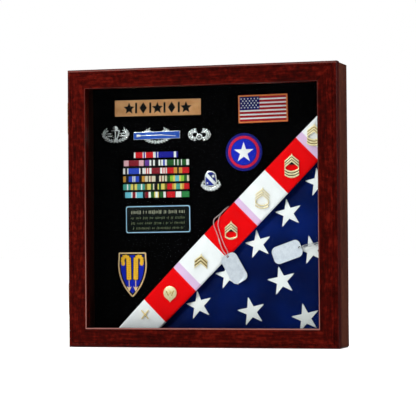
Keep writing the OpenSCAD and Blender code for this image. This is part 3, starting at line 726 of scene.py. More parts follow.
# Distance along the diagonal: a turn of 45 degrees about y brings it onto x
turned = node(tree, "Mapping", {"Vector": place, "Rotation": (0, math.radians(45), 0)}).outputs["Vector"]
run = node(tree, "SeparateXYZ", {"Vector": turned}).outputs["X"]
share = node(tree, "MapRange", {"Value": run, 1: START * MM, 2: STOP * MM, 3: 0.0, 4: 1.0})
blocks = ramp(tree, share.outputs[0], stripes, "CONSTANT")
crease = node(tree, "TexNoise", {"Vector": place, "Scale": 1 / 0.03, "Detail": 3.0}).outputs["Fac"]
shade = node(tree, "MapRange", {"Value": crease, 1: 0.3, 2: 0.7, 3: 0.9, 4: 1.0}).outputs[0]
tinted = node(tree, "Mix", {0: 1.0, 6: blocks, 7: shade}, data_type="RGBA", blend_type="MULTIPLY")
tree.links.new(tinted.outputs[2], skin.inputs["Base Color"])
threads = node(tree, "TexWave", {"Vector": turned, "Scale": WAVE_PERIOD / FLAG_THREAD, "Distortion": 0.5},
               bands_direction="Z")
dull = node(tree, "MapRange", {"Value": threads.outputs["Fac"], 3: 0.68, 4: 0.55})
tree.links.new(dull.outputs[0], skin.inputs["Roughness"])
roughen(tree, skin, threads.outputs["Fac"], 0.00012, 0.4)
print("stripes:", [round(p, 3) for p, _ in stripes])

# %% The flap of cloth
# Its section: (how far in from the long edge, depth behind the fold's front), from under the inner
# edge, round it, across the front and round the outer edge to the back of the bundle
CLOTH = 1.1
# The sweep starts and ends this far beyond the fold, and the fold bows out and in by these in its middle
OVERRUN, BOW_OUT, BOW_IN = 60, 3.4, 1.8
section = [(42, 5.3), (46.5, 5.6), (49.6, 5.0), (50.6, 3.6), (50.3, 2.1), (48.9, 1.1), (46.5, 0.7),
           (42, 0.62), (36, 0.58), (30, 0.56), (24, 0.56), (18, 0.56), (12, 0.58), (7, 0.66), (3.4, 1.0),
           (1.2, 1.9), (0.2, 3.6), (-0.2, 8), (-0.3, 14), (-0.3, 20), (-0.2, 26)]
along = Vector((1, 1, 0)).normalized()
inwards = Vector((1, -1, 0)).normalized()
long_start = Vector((FLAG_X - LEG, FLAG_Z, 0)) - along * OVERRUN
bm = bmesh.new()
line = []
for s, depth in section:
    spot = long_start + inwards * s
    line.append(bm.verts.new((spot.x, spot.y, -(BAND_Y + depth))))
edges = [bm.edges.new(pair) for pair in zip(line, line[1:])]
steps = 300
whole = LEG * math.sqrt(2) + 2 * OVERRUN
for k in range(steps):
    grown = bmesh.ops.extrude_edge_only(bm, edges=edges)["geom"]
    edges = [g for g in grown if isinstance(g, bmesh.types.BMEdge)]
    moved = [g for g in grown if isinstance(g, bmesh.types.BMVert)]
    bmesh.ops.translate(bm, vec=along * (whole / steps), verts=moved)
for cut, way in (((FLAG_X + 0.6, 0, 0), (1, 0, 0)), ((0, FLAG_Z - 0.3, 0), (0, -1, 0))):
    bmesh.ops.bisect_plane(bm, geom=bm.verts[:] + bm.edges[:] + bm.faces[:], dist=0.001, plane_co=cut,
                           plane_no=way, clear_outer=True)
# Seams are small valleys, the cloth between them is a little slack, and the whole flap bows out,
# being tight at its ends and loose in its middle
seams = [FIRST_SEAM + STRIPE * k for k in range(7)]
first_t = (FLAG_X - LEG + FLAG_Z) / math.sqrt(2)
for v in bm.verts:
    t = (v.co.x + v.co.y) / math.sqrt(2)
    s = from_long_edge(v.co.x, v.co.y)
    if s >= 1:
        near = min(abs(t - seam) for seam in seams)
        slack = 0.35 + 0.35 * noise.noise(Vector((t / 26, s / 18, 5.0)))
        v.co.z -= max(0.0, 0.55 * math.exp(-((near / 2.0) ** 2)) + slack)
    bow = math.sin(math.pi * min(max((t - first_t) / (LEG * math.sqrt(2)), 0.0), 1.0)) ** 0.7
    shift = inwards * bow * ((BOW_OUT + BOW_IN) * max(s, 0.0) / BAND_WIDTH - BOW_OUT)
    v.co.x += shift.x
    v.co.y += shift.y
print("fold:", len(bm.faces), "faces before its thickness")

# %% Its thickness, and what it was cut to
bmesh.ops.recalc_face_normals(bm, faces=bm.faces)
bmesh.ops.solidify(bm, geom=bm.faces[:], thickness=CLOTH)
striped_fold = hand_over(bm, "striped_flag_fold", [striped_nylon], ["striped_fold"],
                         to_case, sharp=60)

# %% [markdown]
# ## The name tape
# A strip of tan webbing with a stitched-down edge. The real one is lettered in black; here a row of
# stars, lozenges and bars stands in for the words.

# %% Tan webbing
tan_webbing, tree, skin = start_material("tan_cotton_webbing", Sheen_Weight=0.15, Specular_IOR_Level=0.2)
place = node(tree, "TexCoord").outputs["Object"]
ribs = node(tree, "TexWave", {"Vector": place, "Scale": WAVE_PERIOD / 0.0014, "Distortion": 1.0,
                              "Detail": 2.0}, bands_direction="Z").outputs["Fac"]
fade = node(tree, "TexNoise", {"Vector": place, "Scale": 1 / 0.02, "Detail": 3.0}).outputs["Fac"]
# The tan is darker between the ribs, painted shade, and fades at random
tone = node(tree, "Math", {0: ribs, 1: 0.35, 2: fade}, operation="MULTIPLY_ADD").outputs[0]
tree.links.new(ramp(tree, tone, [(0.4, "#d8945a"), (0.9, "#ffc48c")]), skin.inputs["Base Color"])
dull = node(tree, "MapRange", {"Value": ribs, 3: 0.85, 4: 0.7})
tree.links.new(dull.outputs[0], skin.inputs["Roughness"])
roughen(tree, skin, ribs, 0.0003, 0.6)
print(tan_webbing.name, "made of", len(tree.nodes), "nodes")

# %% Name tape
TAPE_W, TAPE_H = 151.0, 27.0
bm = bmesh.new()
raised(bm, box_outline(TAPE_W, TAPE_H, 0.8, 2), 0, 1.1, 0.4, 0)
for side in (-1, 1):
    raised(bm, box_outline(TAPE_W - 1, 1.7, y=side * (TAPE_H / 2 - 1.3)), 1.0, 1.45, 0.3, 0)
    raised(bm, box_outline(1.7, TAPE_H - 1, x=side * (TAPE_W / 2 - 1.3)), 1.0, 1.45, 0.3, 0)
mark_x = -50.0
for kind in "SBLBSBLBS":
    if kind == "S":
        raised(bm, star_outline(10.2, inner=0.45, x=mark_x, y=-0.8), 1.0, 1.7, 0.25, 1)
    elif kind == "L":
        raised(bm, [(mark_x - 6.4, 0), (mark_x, -9.4), (mark_x + 6.4, 0), (mark_x, 9.4)], 1.0, 1.7, 0.25, 1)
    else:
        raised(bm, box_outline(3.4, 17.5, x=mark_x), 1.0, 1.7, 0.25, 1)
    mark_x += 12.5
hand_over(bm, "name_tape_strip", [tan_webbing, black_thread], ["name_tape"],
          standing(-93.5, 397, BOARD_Y, -0.4))

# %% [markdown]
# ## The embroidered patches
# A patch is twill covered in close stitching, with a thick overlocked edge. The edge is made of real
# stitches, small flattened balls leaning side by side, because that rope-like rim is what the eye
# takes for a patch. Stripes, rings and leaves are raised ribs of satin stitch.

# %% Flag patch
PATCH_W, PATCH_H, PATCH_RIM = 84.4, 46.2, 3.1
bm = bmesh.new()
edge = box_outline(PATCH_W, PATCH_H, 1.5, 3)
raised(bm, edge, 0, 1.2, 0.3, 0)
overlock(bm, edge, PATCH_RIM, 0.6, 2.1, 1.5, 1)
field_w, field_h = PATCH_W - 2 * PATCH_RIM + 0.6, PATCH_H - 2 * PATCH_RIM + 0.6
stripe_h = field_h / 13
for k in range(13):
    y = field_h / 2 - stripe_h * (k + 0.5)
    tall = stripe_h * (1.0 if k % 2 == 0 else 0.8)
    raised(bm, box_outline(field_w, tall, y=y), 1.1, 1.65, 0.4, 0 if k % 2 == 0 else 2)
canton_w, canton_h = field_w * 0.43, stripe_h * 7
canton = box_outline(canton_w, canton_h, x=-field_w / 2 + canton_w / 2, y=field_h / 2 - canton_h / 2)
raised(bm, canton, 1.2, 1.8, 0.3, 3)
# A real canton has fifty stars of 1 mm; 28 larger ones in five rows keep the pattern clear
for row in range(5):
    for column in range(6 if row % 2 == 0 else 5):
        x = -field_w / 2 + canton_w * (1 + 2 * column + row % 2) / 12
        y = field_h / 2 - canton_h * (row + 1) / 6
        raised(bm, star_outline(1.55, inner=0.45, x=x, y=y), 1.7, 2.05, 0, 2)
hand_over(bm, "flag_patch_embroidery", [red_thread, orange_thread, white_thread, canton_thread],
          ["flag_patch"], standing(88.9, 390.3, BOARD_Y, 0.6))

# %% Round patch with a star
bm = bmesh.new()
edge = oval_outline(62.4, 62.4, 72)
raised(bm, edge, 0, 1.1, 0.3, 0)
overlock(bm, edge, 3.6, 0.5, 2.2, 1.6, 0)
raised(bm, oval_outline(53.5, 53.5, 72), 1.0, 1.7, 0.4, 1)
raised(bm, oval_outline(44.5, 44.5, 72), 1.6, 1.95, 0.2, 0)
raised(bm, oval_outline(42, 42, 72), 1.8, 2.15, 0.2, 2)
raised(bm, star_outline(17.5, x=0, y=-1), 2.1, 2.8, 0.5, 3)
hand_over(bm, "round_patch_embroidery", [navy_thread, crimson_thread, blue_thread, white_thread],
          ["round_patch"], standing(55.8, 319.5, BOARD_Y))

# %% [markdown]
# The shield patch carries two upright sprays of leaves in gold on blue, a generic stand-in for a
# unit's badge. A spray is a row of leaf pairs along a stem that curls outwards at the top.

# %% Shield patch with leaf sprays
SHIELD_W, SHIELD_H = 49.5, 76.0
bm = bmesh.new()
edge = shield_outline(SHIELD_W, SHIELD_H)
raised(bm, edge, 0, 1.0, 0.3, 1)
overlock(bm, edge, 3.0, 0.5, 2.2, 1.6, 0)
raised(bm, inset(edge, 5.0), 0.9, 1.5, 0.3, 2)
for side in (-1, 1):
    raised(bm, box_outline(1.2, 26, x=side * 5.8, y=-48), 1.4, 2.1, 0.3, 0)
    stem = [(side * (5.9 + 0.07 * k), -44 + 3.6 * k) for k in range(10)]
    curl = [(8.0, -8.8), (11.0, -7.0), (14.2, -7.6), (16.4, -10.4), (17.0, -14.2)]
    stem += [(side * x, y) for x, y in curl]
    for k, (x, y) in enumerate(stem):
        nx, ny = stem[min(k + 1, len(stem) - 1)]
        px, py = stem[max(k - 1, 0)]
        heading = math.atan2(ny - py, nx - px)
        spread = 2.5 if k < 10 else 1.7
        for lean in (-1, 1):
            off = heading + lean * math.pi / 2
            grain(bm, x + spread * math.cos(off), y + spread * math.sin(off), heading + lean * 0.35,
                  5.6, 4.0, 1.2, 2.7, 3)
        grain(bm, x, y, heading, 5.2, 3.0, 1.4, 3.0, 3)
        grain(bm, x, y, heading, 7.0, 12.4 if k < 10 else 10.0, 1.5, 2.0, 1)
    grain(bm, side * 16.4, -18.6, 0, 7.4, 8.6, 1.2, 3.2, 3, 16, 8)
    point = [(side * 5.8 - 4.2, -57), (side * 5.8, -59.4), (side * 5.8 + 4.2, -57), (side * 5.8, -66)]
    raised(bm, point, 1.4, 2.2, 0.3, 0)
hand_over(bm, "shield_patch_embroidery", [buff_thread, black_thread, blue_thread, gold_thread],
          ["shield_patch"], standing(-139.6, 156.5, BOARD_Y))

# %% [markdown]
# ## The silver badges
# Three die-struck badges pinned in a row: two are open wreaths of leaves, the middle one under a long
# blue enamel bar, and the right one spreads two wings. A wreath is two rows of small leaves along an
# oval, one leaf at a time, so that light catches each of them as it does on struck silver.

# %% Enamel and the wreath
def glass_enamel(name, code, shade):
    """Fired enamel: even colour under a wet gloss, a little paler where it pools."""
    made, tree, skin = start_material(name, Coat_Weight=0.3, Coat_Roughness=0.05, Specular_IOR_Level=0.2)
    place = node(tree, "TexCoord").outputs["Object"]
    pooled = node(tree, "TexNoise", {"Vector": place, "Scale": 1 / 0.008, "Detail": 2.0}).outputs["Fac"]
    tree.links.new(ramp(tree, pooled, [(0.3, shade), (0.7, code)]), skin.inputs["Base Color"])
    gloss = node(tree, "MapRange", {"Value": pooled, 3: 0.2, 4: 0.3})
    tree.links.new(gloss.outputs[0], skin.inputs["Roughness"])
    return made


blue_enamel = glass_enamel("blue_glass_enamel", "#2458c4", "#1846a6")
deep_enamel = glass_enamel("dark_blue_glass_enamel", "#1c2c9c", "#0c1566")
white_enamel = glass_enamel("white_glass_enamel", "#f4f6f8", "#d6dae0")
black_enamel = glass_enamel("black_glass_enamel", "#0c0b0a", "#040403")


def wreath(bm, w, h, leaf, gap, count):
    """Leaves along an oval w by h from its foot up both sides, open by gap degrees at the top."""
    for side in (-1, 1):
        for k in range(count):
            a = math.radians(-90 + side * (6 + (174 - gap / 2) * k / (count - 1)))
            x, y = (w / 2 - leaf * 0.42) * math.cos(a), (h / 2 - leaf * 0.42) * math.sin(a)
            heading = math.atan2(h * math.cos(a) * side, -w * math.sin(a) * side)
            for lean in (-1, 1):
                off = heading + lean * math.pi / 2
                grain(bm, x + leaf * 0.27 * math.cos(off), y + leaf * 0.27 * math.sin(off),
                      heading + lean * 0.6, leaf, leaf * 0.34, 0.7, 2.4)
        stem = arc_outline(w - leaf * 0.6, h - leaf * 0.6, leaf * 0.25, -90, -90 + side * (174 - gap / 2))
        raised(bm, stem, 0, 1.1, 0.2)


print("enamels ready")

# %% Left badge: wreath with a small shield
bm = bmesh.new()
wreath(bm, 47.5, 28, 6.4, 92, 10)
shield = [(x, y + 7.5) for x, y in shield_outline(15, 19)]
raised(bm, shield, 0, 2.0, 0.5)
raised(bm, inset(shield, 1.8), 1.9, 2.2, 0.2, 1)
raised(bm, box_outline(2.2, 15, y=-1), 1.9, 3.0, 0.5)
for side in (-1, 1):
    raised(bm, box_outline(13, 2.4, 1.0, 3, x=side * 13, y=-2.6), 0.5, 2.0, 0.5)
    raised(bm, box_outline(10, 1.8, 0.8, 3, x=side * 12.6, y=1.4), 0.5, 1.8, 0.4)
raised(bm, oval_outline(9.5, 9.5, 24, y=9.5), 0.2, 2.3, 0.8)
grain(bm, 0, 9.5, 0, 5, 5, 1.6, 3.2)
hand_over(bm, "left_wreath_badge", [silver, black_enamel], ["wreath_badge_left"],
          standing(-168, 354, BOARD_Y, 1.0))

# %% Middle badge: a blue bar across a wreath
bm = bmesh.new()
wreath(bm, 50.5, 28, 6.2, 70, 11)
raised(bm, box_outline(81.6, 12.6, 0.8, 3), 0.4, 2.6, 0.4)
raised(bm, box_outline(80.4, 11.4, 0.6, 3), 2.5, 2.9, 0.15, 1)
rod = [(-31, 0.4), (8, 0.8), (34, -1.8), (34, -2.8), (9, -0.6), (-31, -0.2)]
raised(bm, rod, 2.8, 3.7, 0.35)
raised(bm, [(-35, 2.2), (-28, 1.6), (-28, -1.2), (-35, -2.4)], 2.8, 3.6, 0.3)
hand_over(bm, "middle_bar_badge", [silver, blue_enamel], ["bar_badge_middle"],
          standing(-94.8, 350.8, BOARD_Y, 0.6))

# %% Right badge: two wings round a disc
bm = bmesh.new()
for side in (-1, 1):
    for row in range(3):
        for k in range(7):
            a = math.radians(-80 + 27 * k)
            reach = 1 - row * 0.2
            x = side * (6 + (15 * reach - 2) * math.cos(a) * 0.98)
            y = (11 * reach - 1.5) * math.sin(a)
            grain(bm, x, y, math.atan2(math.cos(a), -side * math.sin(a)), 5.4, 2.6, 0.5, 2.3 + 0.2 * row)
    raised(bm, box_outline(16, 1.3, 0.5, 3, x=side * 11, y=3.6), 0.6, 2.4, 0.4)
raised(bm, oval_outline(11, 11, 32, y=-3.6), 0.3, 2.6, 0.7)
raised(bm, oval_outline(6.4, 6.4, 24, y=-3.6), 2.5, 2.9, 0.2, 1)
grain(bm, 0, -3.6, 0, 3.4, 3.4, 2.6, 4.0)
hand_over(bm, "right_wing_badge", [silver, black_enamel], ["wreath_badge_right"],
          standing(-20.6, 350, BOARD_Y, -0.8))

# %% [markdown]
# ## The service ribbons
# Seventeen bars in six rows, each a metal blank wrapped in striped silk. The stripes are cut into the
# mesh as columns of faces, and each column's colour is kept in a colour attribute called stripe.
# One silk material reads it, so all the ribbons share their weave and sheen.

# %% Ribbon silk
silk, tree, skin = start_material("ribbed_ribbon_silk", Sheen_Weight=0.05, Sheen_Roughness=0.3,
                                  Specular_IOR_Level=0.15)
place = node(tree, "TexCoord").outputs["Object"]
dye = node(tree, "Attribute", attribute_name="stripe").outputs["Color"]
ribs = node(tree, "TexWave", {"Vector": place, "Scale": WAVE_PERIOD / 0.0012, "Distortion": 0.6},
            bands_direction="Z").outputs["Fac"]
# The dye is darkened between the ribs: painted shade in their grooves
shade = node(tree, "MapRange", {"Value": ribs, 3: 0.7, 4: 0.95}).outputs[0]
shaded = node(tree, "Mix", {0: 1.0, 6: dye, 7: shade}, data_type="RGBA", blend_type="MULTIPLY")
tree.links.new(shaded.outputs[2], skin.inputs["Base Color"])
dull = node(tree, "MapRange", {"Value": ribs, 3: 0.6, 4: 0.42})
tree.links.new(dull.outputs[0], skin.inputs["Roughness"])
roughen(tree, skin, ribs, 0.0001, 0.5)
print(silk.name, "made of", len(tree.nodes), "nodes")

# %% What each ribbon's stripes are
# A letter is a dye and the number after it the stripe's share of the width
DYES = {"R": "#d8101c", "W": "#fdfcfa", "P": "#6a3a9c", "N": "#10129c", "B": "#0b0b10", "K": "#f2b8c4",
        "M": "#8c1828", "U": "#2848c8", "G": "#1f5a22", "L": "#8ec63a", "Y": "#ead66a", "O": "#d89a3c",
        "C": "#e8dcc0", "T": "#4aa89a", "S": "#6cc4dc", "E": "#2f8a48", "V": "#7a6a1c", "A": "#5878c0"}
RIBBONS = [
    ["W2 R9 W1 P2 W1 R9 W3", "N2 W1 N20 W3 N2"],
    ["B1 K5 M11 K5 B1", "P5 W2 B2 W2 B4 W2 B1 W2 U2 W2", "G8 W1 B1 G2 W1 G2 B1 W1 G5 W3"],
    ["W2 B2 W1 U10 W1 B2 W2", "W1 R1 W1 R1 W2 M8 W2 R1 W1 R1 W1", "R8 O4 B2 O4 R8"],
    ["O3 B3 U4 W1 A1 W1 U4 B3 O3", "C3 B1 C2 M1 C4 B4 C2 M1 C2 B1 C2", "G3 L3 Y2 S4 Y2 L3 G3 C2"],
    ["T3 W1 T2 Y2 B1 Y2 T3 W1 T2", "V2 Y3 G2 C1 B3 Y1 G2 Y3 V2", "R5 O2 Y2 T4 Y2 O2 R5"],
    ["B2 S6 W1 M3 W1 S6 B2", "M3 W2 G3 Y1 W2 Y1 B1 G3 W2 M1", "R10 B1 W7 B1 E9"],
]


def stripes_of(text):
    """(share of the width where the stripe ends, dye) for a ribbon's recipe."""
    parts = [(DYES[p[0]], float(p[1:])) for p in text.split()]
    total, reached, ends = sum(w for _, w in parts), 0.0, []
    for code, w in parts:
        reached += w / total
        ends.append((reached, linear(code)))
    return ends


print("ribbons:", sum(len(row) for row in RIBBONS))

# %% The six rows
RIBBON_W, RIBBON_H, RIBBON_T, RIBBON_PITCH = 38.8, 9.6, 2.0, 13.3
RIBBON_X, RIBBON_TOP, RIBBON_GAP, MOUNT_T = -96.3, 318.3, 0.5, 1.5
for number, row in enumerate(RIBBONS):
    bm = bmesh.new()
    dye_layer = bm.loops.layers.float_color.new("stripe")
    blank_w = RIBBON_W - RIBBON_GAP
    for k, text in enumerate(row):
        x = (k - (len(row) - 1) / 2) * RIBBON_W
        solid = Matrix.Translation((x, 0, RIBBON_T / 2)) @ Matrix.Diagonal((blank_w, RIBBON_H, RIBBON_T, 1))
        made = bmesh.ops.create_cube(bm, size=1, matrix=solid)["verts"]
        sides = list({e for v in made for e in v.link_edges})
        bmesh.ops.bevel(bm, geom=sides, offset=0.6, offset_type="OFFSET", segments=3, profile=0.5,
                        affect="EDGES", material=-1, clamp_overlap=True)
        left = x - blank_w / 2
        ends = stripes_of(text)
        for end, _ in ends[:-1]:
            near = [f for f in bm.faces if abs(f.calc_center_median().x - x) < RIBBON_W / 2]
            geom = near + list({e for f in near for e in f.edges}) + list({v for f in near for v in f.verts})
            bmesh.ops.bisect_plane(bm, geom=geom, dist=0.001, plane_co=(left + blank_w * end, 0, 0),
                                   plane_no=(1, 0, 0))
        for f in bm.faces:
            share = (f.calc_center_median().x - left) / blank_w
            if 0 <= share <= 1:
                colour = next(c for end, c in ends + [(2, ends[-1][1])] if share <= end)
                for loop in f.loops:
                    loop[dye_layer] = colour
    hand_over(bm, f"ribbon_bars_row_{number + 1}", [silk], [f"ribbon_row_{number + 1}"],
              standing(RIBBON_X, RIBBON_TOP - RIBBON_PITCH * number, BOARD_Y - MOUNT_T))

# %% [markdown]
# ## The crest
# A small struck pin with a domed shield, cut by a white diagonal on blue, above a scroll.

# %% Crest pin
bm = bmesh.new()
dome = [(-9.6, -9), (9.6, -9), (10.8, -1), (9.8, 8)]
dome += [(9.8 * math.cos(math.radians(a)), 8 + 8.5 * math.sin(math.radians(a))) for a in range(20, 180, 20)]
dome += [(-9.8, 8), (-10.8, -1)]
raised(bm, dome, 0, 2.2, 0.6, 0)
raised(bm, inset(dome, 1.6), 2.1, 2.5, 0.2, 1)
raised(bm, [(-9.6, 9), (-5.4, 13.5), (10.0, -4.0), (7, -8.2)], 2.4, 3.0, 0.3, 0)
raised(bm, [(-8.2, 7.8), (-4.4, 11.6), (8.2, -3.0), (5.9, -6.8)], 2.9, 3.2, 0.1, 2)
raised(bm, star_outline(3.9, x=4.9, y=7.4), 2.4, 3.3, 0.3, 0)
raised(bm, star_outline(2.6, x=-5.6, y=-3.6), 2.4, 3.1, 0.2, 0)
for k in range(9):
    a = math.radians(200 + 17.5 * k)
    x, y = 16 * math.cos(a), -3 + 12 * math.sin(a)
    grain(bm, x, y, a + math.pi / 2, 5.4, 5.6, 0.2, 2.4)
raised(bm, arc_outline(34, 26, 5.5, 200, 340, 20, y=-3), 0, 1.8, 0.4)
for side in (-1, 1):
    for k in range(3):
        grain(bm, side * (15.4 - 1.4 * k), -5.6 + 2.4 * k, side * 0.8, 5.2, 2.6, 0.4, 2.6)
hand_over(bm, "crest_pin_enamelled", [silver, deep_enamel, white_enamel], ["crest_pin"],
          standing(-1.4, 273, BOARD_Y, 1.5))

# %% [markdown]
# ## The plaque
# A black anodised plate with rounded corners. A pale blue line frames four engraved lines; as no
# words are copied, each line is a row of short strokes.

# %% Anodised plate and its engraving
plate_black, tree, skin = start_material("black_anodised_aluminium", Specular_IOR_Level=0.08)
place = node(tree, "TexCoord").outputs["Object"]
# Brushing lines are under 0.1 mm apart, drawn at 0.8 mm and long
brush = node(tree, "Mapping", {"Vector": place, "Scale": (1 / 30, 1, 1)}).outputs["Vector"]
lines = node(tree, "TexNoise", {"Vector": brush, "Scale": 1 / 0.0008, "Detail": 2.0}).outputs["Fac"]
tree.links.new(ramp(tree, lines, [(0.35, "#020605"), (0.65, "#060e0c")]), skin.inputs["Base Color"])
shine = node(tree, "MapRange", {"Value": lines, 3: 0.3, 4: 0.45})
tree.links.new(shine.outputs[0], skin.inputs["Roughness"])
roughen(tree, skin, lines, 0.00003, 0.4)
line_blue = glass_enamel("pale_blue_line_enamel", "#b4e0ff", "#9cd0fa")
cut_bright = worn_metal("engraved_brass", "#c4c4ac", "#8e8e74", 0.4, 0.001)
cut_dim = worn_metal("engraved_bronze", "#7e8666", "#4e5640", 0.45, 0.001)
print("plaque finishes:", plate_black.name, line_blue.name, cut_bright.name, cut_dim.name)

# %% Plaque
# Each line of strokes: height up the plate, tallest stroke, length, and which metal shows
LINES = [(12.0, 6.4, 94, 2), (2.2, 4.0, 96, 3), (-6.4, 4.0, 94, 3), (-14.8, 4.0, 88, 3)]
random.seed(11)
bm = bmesh.new()
raised(bm, box_outline(115, 47, 4), 0, 1.6, 0.3, 0)
raised(bm, box_outline(112.4, 44.4, 3.6), 1.5, 1.95, 0.1, 1)
raised(bm, box_outline(109.8, 41.8, 3.0), 1.6, 2.0, 0.05, 0)
for line, (y, tall, width, paint) in enumerate(LINES):
    x = -width / 2
    while x < width / 2:
        stroke = random.uniform(1.6, 3.0) if line == 0 else random.uniform(1.2, 2.4)
        rise = tall * random.uniform(0.6, 1.0)
        lean = 0.8 if line else 0.25
        thick = stroke * 0.45
        raised(bm, [(x, y - rise / 2), (x + thick, y - rise / 2), (x + thick + lean, y + rise / 2),
                    (x + lean, y + rise / 2)], 1.9, 2.15, 0, paint)
        x += stroke + (3.2 if random.random() < 0.2 else 0.5)
hand_over(bm, "engraved_plaque", [plate_black, line_blue, cut_bright, cut_dim], ["plaque"],
          standing(-93.7, 211, BOARD_Y, 0.3))

# %% [markdown]
# ## The rank pins
# Seven gold pins climb the striped fold. Most are chevrons over curved rockers, joined at the sides.
# On red cloth the gaps between them are filled with black enamel. On white they are left open, or
# filled with a dark gold plate that stands for the shade in the gaps: painted shade.

# %% Chevrons and rockers
BAR, OPEN_BAR = 2.8, 1.9
PIN_T = 1.8
OPEN, ENAMELLED, GAP_SHADE_FILL = 0, 1, 2
# A pin's back stands 0.1 mm off the fold's flat front
PIN_BACK = BAND_Y - 0.1
# A dark gold plate under the bars, painted shade for the gaps between them
gap_shade_gold = worn_metal("painted_gap_shade_gold", "#96763e", "#66502a", 0.5, 0.0015)


def chevron(bm, w, apex, low, high, thick, paint=0, ease=0.35):
    """A bent band whose point is at y = apex."""
    arm = apex - w * 0.4
    raised(bm, [(-w / 2, arm - thick), (0, apex - thick), (w / 2, arm - thick),
                (w / 2, arm), (0, apex), (-w / 2, arm)], low, high, ease, paint)


def rocker(bm, w, foot, low, high, thick, paint=0, ease=0.35):
    """A shallow sagging band whose lowest place is at y = foot."""
    lower = [(w * (k / 12 - 0.5), foot + w * 0.19 * (k / 6 - 1) ** 2) for k in range(13)]
    raised(bm, lower + [(x, y + thick) for x, y in reversed(lower)], low, high, ease, paint)


def rank_pin(w, h, chevrons, rockers, fill, step):
    """A finial, chevrons from the top down, rockers from the foot up, and the sides that join them."""
    bm = bmesh.new()
    top, foot = h / 2 - 2.4, -h / 2
    bar = OPEN_BAR if fill == OPEN else BAR
    raised(bm, [(-1.1, top - 0.8), (1.1, top - 0.8), (0, h / 2)], 0.1, PIN_T - 0.3, 0.2)
    for k in range(chevrons):
        chevron(bm, w, top - step * k, 0.1, PIN_T, bar)
    for k in range(rockers):
        rocker(bm, w, foot + step * k, 0.1, PIN_T, bar)
    arm = top - w * 0.4 - step * (chevrons - 1) - bar
    shoulder = foot + w * 0.19 + step * (rockers - 1) + bar
    if rockers and arm > shoulder:
        for side in (-1, 1):
            raised(bm, box_outline(1.6, arm - shoulder + 1, x=side * (w / 2 - 0.8), y=(arm + shoulder) / 2),
                   0.1, PIN_T - 0.1, 0.3)
    # The fill is black enamel, or a dark gold plate of painted shade
    if fill:
        chevron(bm, w - 0.8, top - 0.4, 0, 0.9, step * (chevrons - 1) + bar - 0.8, fill, 0)
    if fill and rockers:
        rocker(bm, w - 0.8, foot + 0.4, 0, 0.9, step * (rockers - 1) + bar - 0.6, fill, 0)
    if fill == ENAMELLED:
        low = top - step * (chevrons - 1) - bar
        raised(bm, [(-w * 0.24, low - w * 0.2), (w * 0.24, low - w * 0.2), (0, low + 0.3)], 0, 0.8, 0, fill)
    return bm


print("a rank pin is", PIN_T, "mm thick, with bars of", BAR, "mm, or", OPEN_BAR, "mm where it is open")

# %% The five chevron pins
# Number up the fold, width, height, chevrons, rockers, fill, step from bar to bar, and its x and z
PINS = [(3, 22, 28, 3, 0, GAP_SHADE_FILL, 5.4, -10, 139.5), (4, 21, 31, 3, 1, ENAMELLED, 4.3, 42, 191),
        (5, 23, 35, 3, 2, OPEN, 4.3, 95, 242.5), (6, 24, 40, 3, 3, ENAMELLED, 4.3, 145, 294),
        (7, 22, 37, 3, 3, GAP_SHADE_FILL, 4.3, 182, 343)]
for number, w, h, chevrons, rockers, fill, step, x, z in PINS:
    bm = rank_pin(w, h, chevrons, rockers, fill, step)
    hand_over(bm, f"chevron_pin_{number}", [pale_gold, black_enamel, gap_shade_gold],
              [f"rank_pin_{number}"], standing(x, z, PIN_BACK, 0 if fill == ENAMELLED else -3))

# %% The two small pins
bm = bmesh.new()
top = [(11.4 * math.cos(math.radians(a)), 2 + 11.4 * math.sin(math.radians(a))) for a in range(-35, 216, 10)]
taper = [(5.9, -7.6), (3.4, -9.6), (1.5, -11.4)]
raised(bm, top + [(-x, y) for x, y in taper] + [(0, -13.4)] + taper[::-1], 0, 1.5, 0.4, 0)
raised(bm, star_outline(4.6, x=0, y=2.6), 1.4, 2.2, 0.2, 1)
for side in (-1, 1):
    for k in range(4):
        grain(bm, side * (3.4 + k * 0.9), -1.4 + 2.1 * k, side * (1.0 - 0.2 * k), 4.0, 1.6, 1.2, 2.2, 2)
hand_over(bm, "drop_shaped_pin", [pale_gold, gold, brass], ["rank_pin_2"],
          standing(-63.5, 87, PIN_BACK))
bm = bmesh.new()
for turn in (-40, 40):
    c, s = math.cos(math.radians(turn)), math.sin(math.radians(turn))
    bar = [(x * c - y * s, x * s + y * c) for x, y in box_outline(1.7, 19, 0.6, 3)]
    raised(bm, bar, 0, 1.4 if turn < 0 else 1.8, 0.3)
grain(bm, 0, 0, 0, 5, 5, 0.6, 2.2)
hand_over(bm, "crossed_pin", [gold], ["rank_pin_1"], standing(-107.5, 53.5, PIN_BACK))

# %% [markdown]
# ## The tag chains
# Identity tags hang on ball chain: small hollow balls on a thin wire, closed by a clasp. The balls
# are set at an even pitch along a route close to the CAD's. The chain lies on the cloth and is
# fastened there for its whole length, so it is a part of the display and not a free cord.

